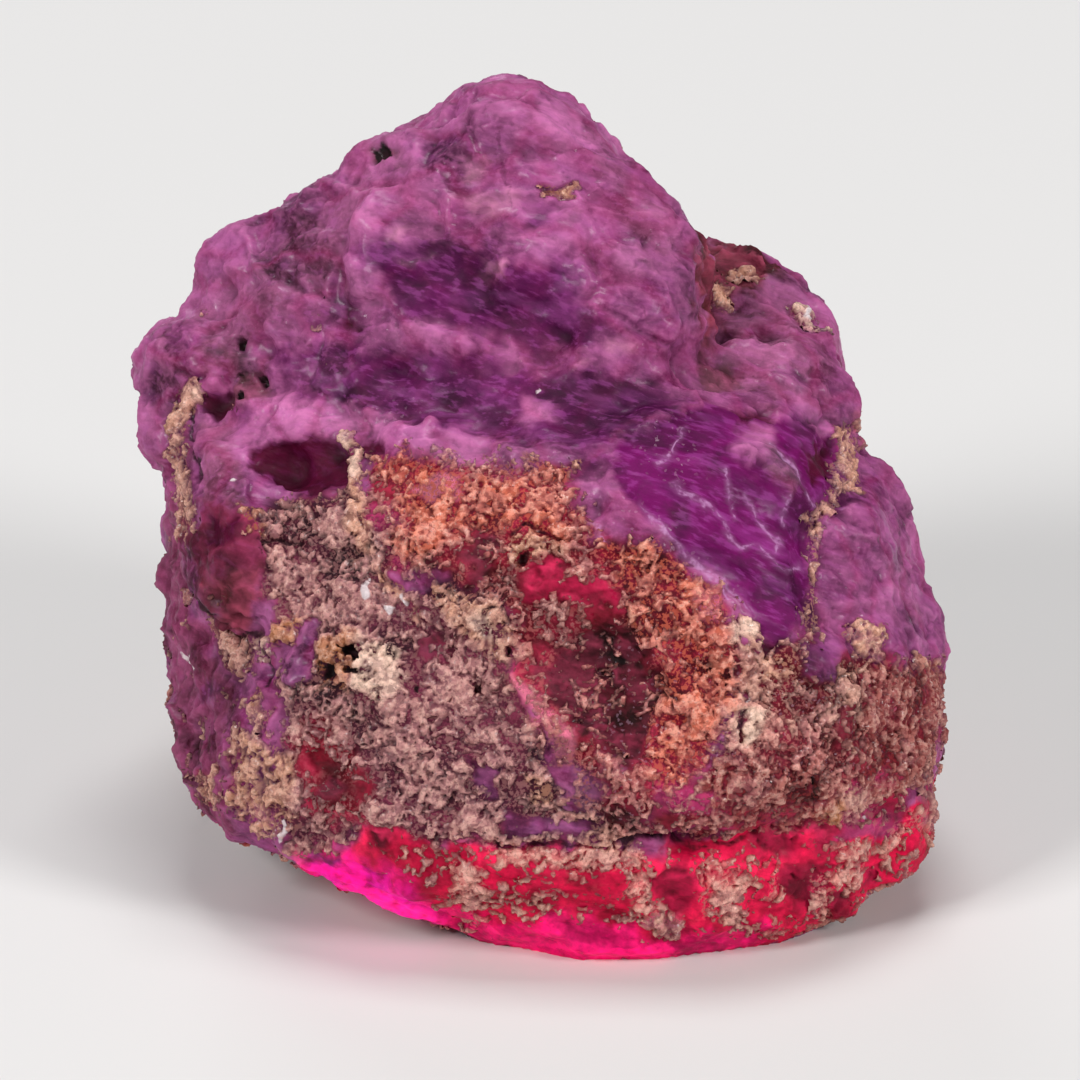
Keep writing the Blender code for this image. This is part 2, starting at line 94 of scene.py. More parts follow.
FROST = (116, 44, 92), (142, 64, 116)
CRUST = (184, 110, 106), (208, 148, 130)
GROUND = {
    "mauve crust bed": Tone((70, 26, 42), 0.7, 0.0, 0.2, 0.0, (
        ((255, 511), (291, 498), (333, 490), (354, 480), (372, 500), (380, 560), (410, 600), (455, 574),
         (503, 603), (513, 625), (514, 670), (531, 708), (545, 745), (562, 790), (560, 832), (500, 840),
         (420, 838), (367, 825), (340, 850), (300, 850), (268, 800), (283, 740), (285, 700), (278, 690),
         (276, 620), (262, 600), (258, 563)),
        ((208, 621), (255, 636), (252, 668), (228, 676), (210, 655)),
        ((500, 800), (600, 812), (640, 838), (540, 842), (500, 838)),
    )),
    "crimson crust bed": Tone((118, 8, 30), 0.5, 0.0, 0.2, 0.0, (
        ((374, 459), (407, 451), (566, 466), (600, 540), (645, 537), (681, 563), (728, 605), (736, 668),
         (728, 720), (702, 759), (660, 800), (640, 838), (600, 838), (575, 800), (560, 740), (530, 690),
         (514, 670), (513, 625), (503, 603), (455, 574), (405, 572), (388, 570), (369, 536), (372, 503)),
        ((298, 720), (330, 712), (352, 745), (372, 790), (366, 822), (330, 828), (306, 806), (290, 760)),
    )),
    "brown crust bed": Tone((104, 12, 28), 0.55, 0.0, 0.25, 0.0, (
        ((728, 647), (754, 642), (791, 634), (843, 652), (883, 655), (943, 665), (948, 736), (930, 770),
         (911, 783), (880, 830), (830, 835), (762, 825), (702, 835), (645, 838), (650, 800), (690, 780),
         (728, 746), (739, 705), (723, 678)),
    )),
    "red base": Tone((206, 4, 60), 0.17, 0.0, 0.12, 0.2, (
        ((300, 866), (334, 860), (364, 828), (396, 826), (420, 838), (490, 842), (640, 850), (700, 838),
         (760, 825), (830, 832), (901, 822), (925, 785), (950, 780), (950, 850), (915, 915), (860, 935),
         (740, 962), (600, 985), (490, 966), (400, 925), (330, 895)),
    )),
    "left column": Tone((90, 28, 50), 0.08, 0.0, 0.2, 0.0, (
        ((150, 480), (190, 500), (192, 560), (205, 610), (215, 650), (240, 690), (236, 840), (190, 840),
         (160, 760), (150, 640)),
    )),
    "violet facet": Tone((112, 4, 88), 0.0, -0.03, 0.1, 1.0, (
        ((600, 455), (640, 430), (700, 405), (760, 415), (820, 432), (836, 445), (836, 480), (818, 505),
         (806, 545), (804, 600), (798, 626), (775, 640), (752, 632), (748, 610), (734, 594), (697, 563),
         (652, 529), (628, 500)),
    )),
    "raspberry thumb": Tone((118, 34, 62), 0.0, 0.05, 0.1, 0.7, (
        ((200, 500), (240, 495), (258, 520), (266, 560), (260, 605), (246, 630), (226, 628), (205, 602),
         (193, 555)),
    )),
    "hollow": Tone((88, 2, 72), None, -0.06, 0.3, 0.75, (
        ((350, 250), (470, 245), (500, 262), (545, 262), (575, 270), (572, 300), (600, 315), (600, 335),
         (560, 350), (500, 340), (450, 322), (400, 305), (375, 285)),
        ((278, 356), (340, 348), (400, 350), (540, 372), (560, 368), (640, 380), (690, 398), (640, 436),
         (560, 446), (430, 426), (340, 402), (296, 392)),
    )),
    "pale lilac": Tone((180, 98, 150), None, 0.03, 0.22, 0.0, (
        ((530, 100), (560, 96), (587, 110), (590, 145), (560, 149), (535, 140)),
        ((593, 127), (625, 128), (635, 148), (610, 152), (592, 146)),
        ((524, 233), (560, 233), (562, 248), (540, 254), (520, 245)),
        ((566, 238), (578, 237), (578, 247), (567, 247)),
        ((345, 170), (372, 170), (374, 228), (348, 232)),
        ((384, 320), (418, 318), (440, 324), (438, 338), (395, 342)),
        ((612, 245), (640, 240), (650, 275), (625, 282), (616, 262)),
        ((348, 264), (375, 270), (390, 300), (370, 306), (355, 290)),
        ((792, 381), (806, 378), (819, 395), (814, 414), (800, 412)),
        # This patch is a painted glint
        ((791, 331), (806, 333), (810, 343), (796, 345)),
        ((250, 408), (330, 405), (420, 428), (470, 440), (555, 446), (560, 464), (440, 462), (390, 438),
         (300, 436)),
        ((520, 400), (553, 401), (550, 417), (522, 416)),
        ((738, 429), (771, 430), (768, 459), (740, 455)),
        ((880, 560), (900, 560), (915, 600), (905, 615), (885, 590)),
        ((560, 740), (572, 760), (600, 790), (590, 806), (570, 790)),
    )),
    # Rosy white spots; most of those on the front are painted glints
    "rosy white and painted glints": Tone((204, 126, 162), None, 0.02, 0.14, 0.0, (
        ((464, 160), (488, 158), (490, 176), (470, 178)),
        ((455, 198), (480, 194), (512, 194), (512, 208), (470, 212)),
        ((380, 228), (402, 226), (400, 240), (382, 240)),
        ((575, 364), (588, 355), (591, 360), (578, 368)),
        ((609, 350), (633, 341), (632, 350), (612, 355)),
        ((704, 251), (711, 250), (712, 258), (705, 258)),
        ((770, 267), (786, 267), (785, 275), (772, 275)),
        ((576, 796), (592, 793), (592, 804), (580, 808)),
        ((484, 262), (503, 266), (500, 278), (486, 276)),
        ((337, 284), (348, 281), (346, 288), (338, 290)),
    )),
    "violet": Tone((108, 34, 92), None, 0.0, 0.2, 0.0, (
        ((503, 168), (532, 168), (532, 193), (505, 194)),
        ((405, 131), (445, 138), (440, 150), (410, 150)),
        ((196, 262), (210, 235), (250, 222), (275, 240), (262, 285), (215, 292)),
        ((905, 600), (930, 620), (940, 655), (918, 655)),
        ((646, 256), (668, 262), (676, 292), (655, 284)),
    )),
    "blue violet": Tone((94, 30, 74), 0.08, 0.0, 0.12, 0.5, (
        ((302, 303), (344, 305), (345, 325), (310, 330)),
        ((190, 309), (220, 312), (218, 328), (192, 326)),
        ((238, 409), (256, 410), (254, 425), (240, 424)),
        ((296, 366), (347, 357), (350, 372), (330, 390), (298, 384)),
        ((279, 622), (316, 616), (318, 678), (295, 690), (280, 676)),
        ((796, 642), (820, 636), (845, 650), (840, 676), (805, 678)),
        ((190, 560), (207, 600), (206, 622), (190, 620)),
        ((473, 762), (500, 764), (498, 799), (478, 798)),
        ((505, 815), (600, 815), (600, 834), (505, 834)),
        ((223, 361), (238, 362), (238, 379), (225, 378)),
    )),
    "dark violet": Tone((76, 12, 60), None, -0.03, 0.16, 0.8, (
        ((360, 243), (400, 240), (451, 238), (470, 252), (445, 258), (400, 256), (370, 260)),
        ((388, 276), (430, 280), (425, 300), (400, 303)),
        ((469, 276), (490, 276), (488, 310), (470, 321), (462, 312), (470, 295)),
        ((445, 297), (463, 300), (462, 312), (448, 310)),
        ((500, 320), (524, 320), (526, 331), (502, 332)),
        ((542, 333), (566, 330), (580, 338), (560, 345), (545, 343)),
        ((578, 309), (594, 309), (596, 322), (582, 327)),
        ((497, 236), (520, 227), (545, 207), (558, 200), (562, 212), (540, 222), (515, 233)),
        ((344, 382), (387, 376), (385, 392), (360, 398), (344, 396)),
        ((404, 414), (440, 396), (464, 394), (460, 415), (450, 424), (418, 420)),
        ((458, 420), (470, 408), (500, 402), (513, 410), (505, 425), (470, 432)),
        ((470, 430), (519, 428), (519, 436), (480, 437)),
        ((544, 376), (580, 373), (622, 385), (620, 398), (560, 400), (546, 392)),
        ((553, 420), (599, 418), (600, 440), (556, 441)),
        ((575, 458), (623, 456), (620, 470), (585, 471)),
        ((702, 453), (720, 453), (720, 483), (704, 480)),
        ((662, 508), (690, 505), (692, 535), (670, 538)),
        ((757, 578), (786, 577), (784, 599), (760, 600)),
        ((783, 420), (811, 420), (813, 444), (795, 441)),
        ((825, 500), (860, 494), (868, 506), (830, 514)),
        ((195, 682), (213, 682), (212, 700), (196, 700)),
    )),
    "magenta": Tone((150, 36, 84), None, 0.0, 0.1, 0.5, (
        ((370, 503), (395, 500), (404, 520), (410, 560), (400, 572), (380, 545), (370, 525)),
        ((836, 790), (870, 778), (912, 780), (905, 820), (870, 842), (838, 836)),
        ((657, 783), (718, 786), (716, 811), (660, 808)),
    )),
    "maroon glass": Tone((84, 0, 42), 0.0, -0.1, 0.1, 1.0, (
        ((257, 451), (296, 440), (343, 440), (353, 460), (348, 485), (317, 497), (291, 492), (272, 479),
         (258, 466)),
        ((352, 442), (385, 443), (387, 452), (367, 463), (356, 458)),
        ((342, 303), (350, 303), (366, 333), (358, 337), (350, 330)),
        ((755, 327), (791, 326), (790, 346), (756, 344)),
        ((205, 394), (241, 396), (240, 412), (225, 418), (206, 412)),
        ((223, 309), (235, 310), (234, 318), (224, 318)),
        ((730, 405), (772, 407), (770, 422), (735, 420)),
        ((801, 446), (835, 444), (833, 480), (815, 482)),
        ((762, 638), (784, 640), (780, 650), (764, 650)),
        ((210, 519), (237, 519), (236, 543), (212, 543)),
    )),
    "dark crimson": Tone((48, 0, 6), 0.12, -0.06, 0.25, 0.8, (
        ((545, 655), (578, 640), (600, 622), (640, 635), (660, 680), (652, 735), (625, 770), (590, 745),
         (560, 715), (542, 690)),
        ((318, 765), (345, 768), (352, 790), (335, 806), (315, 795)),
        ((388, 533), (413, 535), (412, 548), (392, 548)),
        ((410, 548), (434, 550), (432, 569), (415, 568)),
        ((464, 548), (480, 536), (495, 548), (497, 575), (482, 584), (466, 574)),
        ((198, 598), (225, 600), (228, 628), (215, 625)),
        ((415, 629), (455, 632), (452, 662), (420, 655)),
        ((470, 540), (503, 543), (505, 552), (474, 548)),
        ((640, 560), (655, 556), (660, 564), (646, 568)),
        ((700, 660), (735, 664), (732, 672), (702, 670)),
        ((600, 800), (640, 802), (640, 832), (604, 830)),
        ((855, 700), (880, 704), (878, 716), (858, 714)),
    )),
    "crimson glass": Tone((150, 0, 48), 0.05, -0.06, 0.16, 0.5, (
        ((527, 600), (530, 565), (550, 553), (566, 556), (570, 577), (608, 580), (630, 600), (628, 611),
         (590, 602), (550, 604)),
        ((749, 826), (799, 826), (797, 857), (755, 850)),
        ((367, 823), (397, 823), (395, 842), (370, 842)),
        ((649, 864), (698, 866), (690, 915), (660, 915)),
        ((861, 865), (882, 863), (880, 887), (862, 886)),
        ((806, 890), (848, 890), (846, 914), (810, 916)),
        ((884, 786), (912, 784), (905, 820), (888, 818)),
        ((778, 864), (812, 856), (838, 872), (822, 904), (796, 912), (780, 890)),
        ((808, 826), (842, 826), (842, 851), (812, 850)),
        ((475, 868), (490, 870), (488, 884), (476, 882)),
    )),
    "rose": Tone((190, 100, 122), 0.45, 0.04, 0.08, 0.4, (
        ((508, 668), (522, 672), (545, 700), (575, 740), (572, 760), (555, 756), (530, 708)),
        ((649, 914), (682, 918), (680, 938), (655, 936)),
        ((410, 485), (440, 478), (464, 478), (462, 495), (430, 506), (410, 500)),
        ((922, 785), (944, 788), (938, 833), (925, 830)),
        ((600, 756), (624, 758), (622, 780), (602, 778)),
        ((850, 414), (862, 420), (868, 440), (855, 436)),
        ((273, 842), (309, 850), (312, 868), (285, 860)),
        ((690, 585), (715, 596), (722, 620), (700, 616)),
    )),
    "russet": Tone((96, 34, 40), None, 0.0, 0.15, 0.0, (
        ((688, 222), (786, 240), (800, 272), (760, 290), (730, 305), (722, 350), (706, 366), (696, 330),
         (694, 270)),
        ((250, 372), (268, 380), (270, 396), (250, 400)),
        ((203, 580), (258, 572), (258, 606), (244, 630), (226, 628), (208, 606)),
        ((735, 300), (762, 306), (795, 342), (775, 362), (742, 332)),
    )),
    # Painted shade: on the front, darker patches over the shoulders and slopes; elsewhere a tone at random
    "dusky rose and painted shade": Tone((104, 44, 74), None, 0.0, 0.35, 0.0, (
        ((720, 300), (800, 290), (832, 350), (820, 410), (760, 400), (716, 380)),
        ((250, 250), (330, 190), (360, 200), (330, 290), (270, 330), (200, 360), (190, 320)),
        ((150, 330), (190, 350), (190, 470), (160, 470)),
        ((590, 130), (640, 180), (680, 260), (660, 270), (610, 200)),
    )),
    "grey pink": Tone((122, 58, 86), None, 0.0, 0.15, 0.0, (
        ((202, 424), (234, 424), (241, 485), (249, 505), (205, 505), (200, 458)),
        ((195, 335), (235, 335), (245, 372), (200, 375)),
    )),
    # Painted light: the hot pink of the foot where light from below shines through it
    "hot pink painted glow": Tone((255, 0, 114), 0.04, 0.0, 0.2, 0.2, (
        ((520, 925), (560, 915), (640, 930), (660, 950), (610, 980), (540, 975)),
        ((300, 850), (350, 850), (395, 872), (420, 892), (455, 925), (450, 950), (400, 935), (330, 900)),
        ((430, 905), (520, 928), (660, 938), (770, 922), (740, 962), (600, 985), (490, 966), (430, 940)),
    )),
    "olive": Tone((62, 34, 30), None, -0.04, 0.12, 0.0, (
        ((232, 372), (268, 362), (266, 400), (244, 414), (228, 405)),
        ((370, 150), (390, 148), (404, 158), (403, 165), (390, 162), (372, 162)),
        ((700, 355), (735, 362), (745, 382), (715, 390), (698, 374)),
        ((804, 774), (818, 772), (816, 802), (806, 800)),
        ((235, 334), (248, 334), (252, 352), (238, 354)),
        ((312, 845), (340, 850), (338, 857), (314, 854)),
        ((470, 676), (500, 672), (512, 688), (495, 702), (474, 694)),
    )),
    "grey": Tone((96, 58, 78), None, 0.0, 0.12, 0.0, (
        ((563, 215), (581, 216), (578, 230), (566, 228)),
        ((200, 345), (222, 347), (222, 366), (204, 368)),
        ((236, 354), (262, 352), (262, 368), (240, 372)),
        ((400, 252), (427, 256), (424, 264), (404, 262)),
        ((910, 602), (924, 602), (922, 627), (910, 625)),
        ((760, 440), (780, 445), (800, 490), (790, 500), (770, 470)),
    )),
}

GRAINS = {
    "mauve grains": Tone((190, 126, 126), None, 0.0, 0.4, 0.0, (
        ((262, 500), (372, 500), (455, 574), (514, 670), (562, 790), (560, 832), (300, 850), (268, 800),
         (258, 563)),
    )),
    "pink grains": Tone((204, 112, 108), None, 0.0, 0.3, 0.0, (
        ((374, 459), (566, 466), (600, 540), (728, 605), (736, 668), (702, 759), (640, 838), (575, 800),
         (514, 670), (503, 603), (388, 570)),
        ((728, 760), (800, 720), (860, 760), (830, 835), (650, 836)),
    )),
    "buff": Tone((240, 160, 148), 0.9, 0.0, 0.2, 0.0, (
        ((495, 841), (560, 846), (640, 845), (645, 862), (600, 868), (560, 862), (500, 858)),
        ((700, 862), (745, 860), (743, 912), (715, 914), (697, 890)),
        ((840, 848), (860, 840), (866, 850), (860, 885), (830, 885)),
        ((622, 866), (649, 868), (650, 905), (640, 912), (630, 890)),
        ((455, 862), (480, 866), (486, 905), (470, 920), (462, 895)),
        ((884, 828), (904, 826), (900, 842), (886, 843)),
        ((812, 872), (830, 872), (828, 917), (815, 916)),
        ((906, 806), (924, 806), (922, 832), (908, 832)),
        ((765, 870), (780, 872), (778, 905), (768, 900)),
        ((728, 700), (775, 696), (778, 745), (732, 748)),
    )),
    "tan": Tone((216, 152, 124), 0.8, 0.02, 0.12, 0.0, (
        ((349, 478), (360, 476), (373, 500), (370, 550), (358, 556), (352, 520)),
        ((372, 555), (384, 565), (410, 600), (425, 625), (405, 600), (380, 575)),
        ((464, 486), (482, 488), (480, 528), (468, 520)),
        ((504, 540), (530, 530), (558, 536), (560, 552), (535, 556), (525, 560), (510, 566)),
        ((430, 580), (500, 604), (512, 640), (500, 665), (460, 640), (440, 600)),
        ((250, 690), (262, 690), (273, 712), (272, 737), (258, 730), (248, 708)),
        ((237, 724), (291, 760), (296, 823), (262, 834), (236, 810)),
        ((200, 773), (221, 775), (220, 803), (202, 803)),
        ((713, 290), (734, 292), (732, 302), (714, 301)),
        ((722, 270), (764, 268), (764, 278), (724, 280)),
        ((837, 432), (856, 429), (859, 492), (840, 495), (832, 478)),
        ((168, 449), (170, 410), (190, 392), (196, 400), (186, 430), (184, 470), (176, 478)),
        ((530, 777), (552, 778), (550, 796), (534, 796)),
        ((757, 650), (793, 650), (790, 680), (762, 680)),
        ((567, 460), (578, 454), (587, 453), (585, 460), (570, 466)),
        ((845, 630), (884, 624), (884, 650), (852, 652)),
        ((902, 662), (942, 664), (942, 676), (905, 678)),
    )),
    "ochre": Tone((190, 116, 72), 0.85, 0.02, 0.1, 0.0, (
        ((319, 640), (345, 625), (357, 632), (350, 690), (325, 690), (318, 665)),
        ((805, 798), (842, 800), (840, 826), (808, 826)),
        ((536, 184), (548, 180), (578, 186), (575, 196), (540, 197)),
        ((240, 504), (261, 506), (262, 535), (248, 532)),
        ((622, 596), (650, 600), (655, 632), (630, 628)),
        ((273, 620), (298, 618), (296, 638), (276, 640)),
    )),
    "cream": Tone((246, 206, 184), 0.95, 0.02, 0.1, 0.0, (
        ((357, 632), (400, 648), (402, 690), (375, 697), (357, 690), (350, 660)),
        ((733, 708), (757, 706), (755, 742), (738, 742)),
        ((722, 628), (740, 614), (756, 618), (750, 640), (728, 641)),
        ((784, 777), (803, 775), (805, 798), (788, 800)),
        ((791, 300), (806, 304), (831, 332), (824, 336), (805, 320), (793, 308)),
        ((188, 388), (200, 384), (206, 390), (200, 397), (190, 397)),
        ((466, 617), (485, 612), (494, 634), (478, 636)),
        ((660, 600), (685, 604), (690, 624), (668, 622)),
        ((345, 436), (350, 436), (361, 470), (355, 478), (349, 460)),
        ((256, 640), (264, 640), (273, 664), (264, 668), (256, 655)),
    )),
    "rust": Tone((236, 116, 88), 0.66, 0.0, 0.2, 0.0, (
        ((374, 459), (407, 451), (440, 470), (474, 478), (520, 470), (566, 470), (572, 517), (566, 534),
         (503, 536), (470, 528), (447, 539), (416, 562), (400, 545), (400, 500)),
        ((592, 537), (645, 537), (681, 563), (728, 605), (720, 641), (736, 668), (728, 720), (702, 759),
         (660, 790), (645, 772), (650, 720), (662, 668), (632, 615), (610, 576)),
    )),
    "fragments": Tone((176, 110, 108), 0.6, 0.02, 0.1, 0.0, (
        ((530, 602), (560, 600), (585, 625), (580, 645), (545, 645), (532, 625)),
        ((504, 566), (516, 570), (516, 588), (506, 584)),
    )),
    "brown grains": Tone((158, 54, 54), 0.7, 0.0, 0.2, 0.0, (
        ((870, 660), (943, 665), (948, 736), (911, 783), (870, 800), (850, 740)),
        ((720, 780), (800, 760), (840, 790), (800, 830), (730, 830)),
        ((854, 742), (878, 740), (874, 770), (858, 772)),
        ((690, 780), (740, 750), (780, 790), (760, 820), (700, 825)),
    )),
}

# Thin lines and small spots with crisp borders, in the same pixels
VEIN = (214, 152, 132)
RIPPLE = (206, 150, 200)
SEAM = (84, 26, 58)
# Painted shade: near-black for the shade inside the cracks
CRACK_SHADE = (40, 14, 22)
# Painted shade: near-black for the shade inside the pits
PIT_SHADE = (24, 13, 14)
# Pale mica, also used for painted glints
MICA_AND_GLINT = (220, 204, 206)
VEINS = (
    ((846, 440), (841, 485), (815, 516), (812, 550), (809, 602), (807, 628)),
    ((193, 392), (182, 413), (177, 439), (180, 470), (184, 490), (187, 537)),
)
CRACKS = (
    ((512, 536), (524, 528), (543, 530), (566, 536)),
    ((194, 411), (190, 440), (197, 479)),
    ((189, 590), (215, 618), (240, 634), (256, 638)),
    ((470, 840), (540, 843), (590, 845), (622, 841), (650, 836), (676, 841), (720, 843), (760, 836)),
    ((256, 540), (285, 542), (300, 546)),
    ((740, 712), (741, 736)),
    ((258, 640), (266, 660), (268, 690)),
)
SEAMS = (
    ((600, 232), (616, 230), (640, 238)),
    ((548, 151), (580, 150), (609, 152)),
    ((502, 128), (500, 160), (508, 196), (498, 222)),
    ((430, 160), (452, 182), (448, 214)),
    ((592, 170), (604, 196), (632, 214)),
    ((640, 300), (655, 340), (660, 372)),
    ((300, 225), (330, 262), (352, 300)),
    ((270, 300), (306, 345), (340, 350)),
)
RIPPLES = (
    ((671, 480), (680, 495), (702, 504), (717, 517), (726, 532), (735, 547), (756, 547), (771, 556),
     (784, 565), (796, 568)),
    ((720, 471), (729, 501), (735, 517)),
    ((744, 495), (756, 507), (768, 535), (777, 550)),
    ((768, 441), (793, 471), (805, 492), (811, 504)),
    ((787, 501), (787, 532)),
    ((640, 505), (652, 529), (697, 563), (734, 594), (749, 610)),
    ((646, 520), (690, 560), (730, 600)),
    ((655, 466), (671, 453), (686, 432)),
    ((580, 515), (600, 530), (606, 545)),
)
PITS = (
    ((237, 340), (244, 340), (243, 352), (238, 351)),
    ((256, 373), (265, 372), (264, 383), (257, 382)),
    ((374, 152), (388, 150), (390, 160), (376, 161)),
    ((338, 642), (350, 641), (357, 655), (352, 659), (343, 656)),
    ((323, 662), (331, 662), (336, 676), (328, 678)),
    ((343, 668), (355, 667), (356, 674), (345, 674)),
    ((471, 680), (479, 680), (479, 687), (472, 687)),
    ((502, 646), (508, 647), (509, 656), (504, 656)),
    ((519, 551), (526, 549), (525, 561), (517, 565)),
    ((415, 686), (422, 688), (420, 694), (415, 692)),
    ((806, 776), (812, 776), (812, 786), (807, 786)),
    ((640, 835), (668, 832), (676, 840), (645, 840)),
    ((240, 400), (248, 394), (252, 400), (243, 408)),
)
# Mica flakes; some of these spots are painted glints
FLAKES_AND_GLINTS = (
    ((365, 580), (374, 578), (376, 598), (367, 600)),
    ((390, 606), (399, 608), (395, 617), (389, 613)),
    ((182, 653), (188, 654), (191, 664), (186, 666)),
    ((401, 596), (404, 595), (412, 608), (408, 610)),
    ((281, 818), (286, 819), (287, 834), (283, 836)),
    ((533, 388), (540, 386), (541, 392), (535, 392)),
    ((225, 476), (233, 474), (232, 480), (226, 480)),
    ((803, 306), (810, 308), (812, 316), (806, 314)),
    ((866, 820), (871, 816), (871, 821), (867, 823)),
)
# Where the stone sparkles: more glossy chips, with pale painted glints on them
SPARKLES = (
    ((630, 417), (702, 410), (706, 484), (670, 490), (640, 470)),
    ((575, 480), (640, 495), (760, 600), (750, 620), (700, 590), (640, 545), (575, 540)),
    ((460, 440), (560, 440), (580, 480), (470, 480)),
    ((250, 400), (420, 400), (440, 440), (250, 440)),
    ((600, 640), (740, 640), (740, 830), (600, 830)),
    ((740, 660), (940, 680), (900, 780), (740, 800)),
)
# Painted light: the rim that glows with light from below, given as emission
GLOW = (
    ((300, 850), (350, 850), (390, 870), (412, 890), (445, 920), (450, 950), (400, 935), (330, 900)),
)

# How the tones turn up where the photograph doesn't reach: how broad their patches are, the share of such
# patches that have the tone, and the lowest and highest that they lie, in millimetres
ELSEWHERE = {
    "mauve crust bed": ("broad", 0.35, 0, 7), "crimson crust bed": ("broad", 0.25, 0, 7),
    "brown crust bed": ("broad", 0.25, 0, 7), "red base": ("wide", 0.6, -1, 2.2),
    "dusky rose and painted shade": ("wide", 0.2, 2, 16), "left column": ("wide", 0.15, 0, 12),
    "hollow": ("middle", 0.16, 4, 16), "pale lilac": ("middle", 0.2, 4, 16),
    "violet": ("middle", 0.14, 3, 16), "rust": ("middle", 0.14, 0, 6),
    "pink grains": ("middle", 0.14, 0, 7), "brown grains": ("middle", 0.1, 0, 7),
    "magenta": ("middle", 0.06, 1, 11), "dark crimson": ("middle", 0.06, 0, 6),
    "rosy white and painted glints": ("small", 0.06, 3, 16), "blue violet": ("small", 0.08, 2, 14),
    "dark violet": ("small", 0.08, 4, 16), "maroon glass": ("small", 0.03, 3, 13),
    "crimson glass": ("small", 0.07, 0, 5), "rose": ("small", 0.08, 0, 14), "olive": ("small", 0.04, 1, 15),
    "grey": ("small", 0.05, 2, 15), "buff": ("small", 0.12, 0, 3), "tan": ("small", 0.12, 0, 8),
    "ochre": ("small", 0.05, 0, 8), "cream": ("small", 0.06, 0, 8), "fragments": ("small", 0.06, 0, 6),
}
BREADTHS = {"broad": 5.5, "wide": 4.0, "middle": 1.9, "small": 0.95}

# How far off an outline or a line its distance is worked out, in millimetres
MARGIN = 0.8


# Numbers that vary over the stone, worked out for all its points at once

# Large odd numbers that scatter a corner's three whole numbers, a seed, and a cell's second set of randoms
MIXERS = np.array([0x8DA6B343, 0xD8163841, 0xCB1AB31F], np.uint32)
SEED_MIXER = 2654435761
CELL_MIXER = np.uint32(747796405)


def corner_bits(corners, seed):
    """Repeatable random bits for each whole-number corner."""
    x, y, z = (corners.astype(np.int64).astype(np.uint32) * MIXERS).T
    bits = x ^ y ^ z ^ np.uint32(seed * SEED_MIXER & 0xFFFFFFFF)
    bits ^= bits >> np.uint32(15)
    bits *= np.uint32(0x2C1B3C6D)
    bits ^= bits >> np.uint32(12)
    bits *= np.uint32(0x297A2D39)
    return bits ^ (bits >> np.uint32(15))


def three_randoms(bits):
    """Three numbers from 0 to 1 out of the bits."""
    return np.stack([(bits >> np.uint32(shift) & np.uint32(1023)) / 1023.0 for shift in (0, 10, 20)], -1)


def noise(points, size, seed):
    """Smooth noise of features about this size, mostly -0.6 to 0.6."""
    scaled = points / size
    low = np.floor(scaled)
    part = scaled - low
    fade = part * part * part * (part * (part * 6 - 15) + 10)
    total = np.zeros(len(points))
    for corner in np.ndindex(2, 2, 2):
        offset = np.array(corner)
        slope = three_randoms(corner_bits(low + offset, seed)) * 2 - 1
        weight = np.prod(np.where(offset == 1, fade, 1 - fade), axis=1)
        total += weight * np.sum(slope * (part - offset), axis=1)
    return total


def layered(points, size, seed, layers=3):
    """Noise with finer and weaker noise over it."""
    return sum(noise(points, size / 2**n, seed + n) * 0.55**n for n in range(layers))


def sway(points, size, seed, layers=1):
    """Three noises, to move the points about by."""
    return np.stack([layered(points, size, seed + n, layers) for n in range(3)], -1)


def ridged(points, size, seed):
    """1 along thin winding crests, falling to about 0 between them."""
    return 1 - np.minimum(1, np.abs(noise(points, size, seed)) * 3.2)


def cells(points, size, seed):
    """For each point: distance to the nearest cell centre and to the next one, the way from the centre,
    and the cell's three random numbers."""
    scaled = points / size
    low = np.floor(scaled)
    nearest = np.full(len(points), 9.0)
    second = np.full(len(points), 9.0)
    away = np.zeros((len(points), 3))
    randoms = np.zeros((len(points), 3))
    for corner in np.ndindex(3, 3, 3):
        cell = low + np.array(corner) - 1
        bits = corner_bits(cell, seed)
        gap = scaled - cell - three_randoms(bits)
        distance = np.linalg.norm(gap, axis=1)
        closer = distance < nearest
        second = np.where(closer, nearest, np.minimum(second, distance))
        nearest = np.where(closer, distance, nearest)
        away[closer] = gap[closer]
        randoms[closer] = three_randoms(bits * CELL_MIXER)[closer]
    return nearest, second, away * size, randoms


def along_streaks(points, length=STREAK_LENGTH):
    """Points squeezed along the crystal's streaks, down to the right, so that a noise of them is streaky."""
    slant = math.radians(STREAK_SLANT)
    along = points @ np.array([math.cos(slant), 0, -math.sin(slant)])
    across = points @ np.array([math.sin(slant), 0, math.cos(slant)])
    return np.stack([along / length, points[:, 1], across], -1)


def step(low, high, values):
    """0 below low, 1 above high, smooth between."""
    t = np.clip((values - low) / (high - low), 0, 1)
    return t * t * (3 - 2 * t)


def on_line(distance, width):
    """1 on a line, fading out within about twice its width."""
    return np.exp(-((distance / width) ** 2))


def plates(points, size, seed, slope, jump):
    """Height of flat plates of about this size, each leaning and lifted its own way."""
    _, _, away, randoms = cells(points, size, seed)
    lean = np.sum(away * (randoms * 2 - 1), axis=1) * slope
    return lean + (randoms[:, 0] - 0.5) * jump


# Places on the front


def in_layout(points):
    """(across, up, depth) of points in millimetres."""
    laid = points / LAYOUT_SCALE + LAYOUT_MIDDLE
    rise = laid[:, 1] * math.sin(VIEW_TILT) + laid[:, 2] * math.cos(VIEW_TILT)
    reach = laid[:, 1] * math.cos(VIEW_TILT) - laid[:, 2] * math.sin(VIEW_TILT)
    return laid[:, 0], rise + BASE_UP, reach + BASE_DEPTH


def on_stone(pixels):
    """(across, up) of pixels of the photograph."""
    across_and_up = np.array([MIDDLE_COLUMN, LOWEST_ROW]) - np.array(pixels)
    return (across_and_up * (-1, 1) / PIXELS_PER_MM).tolist()


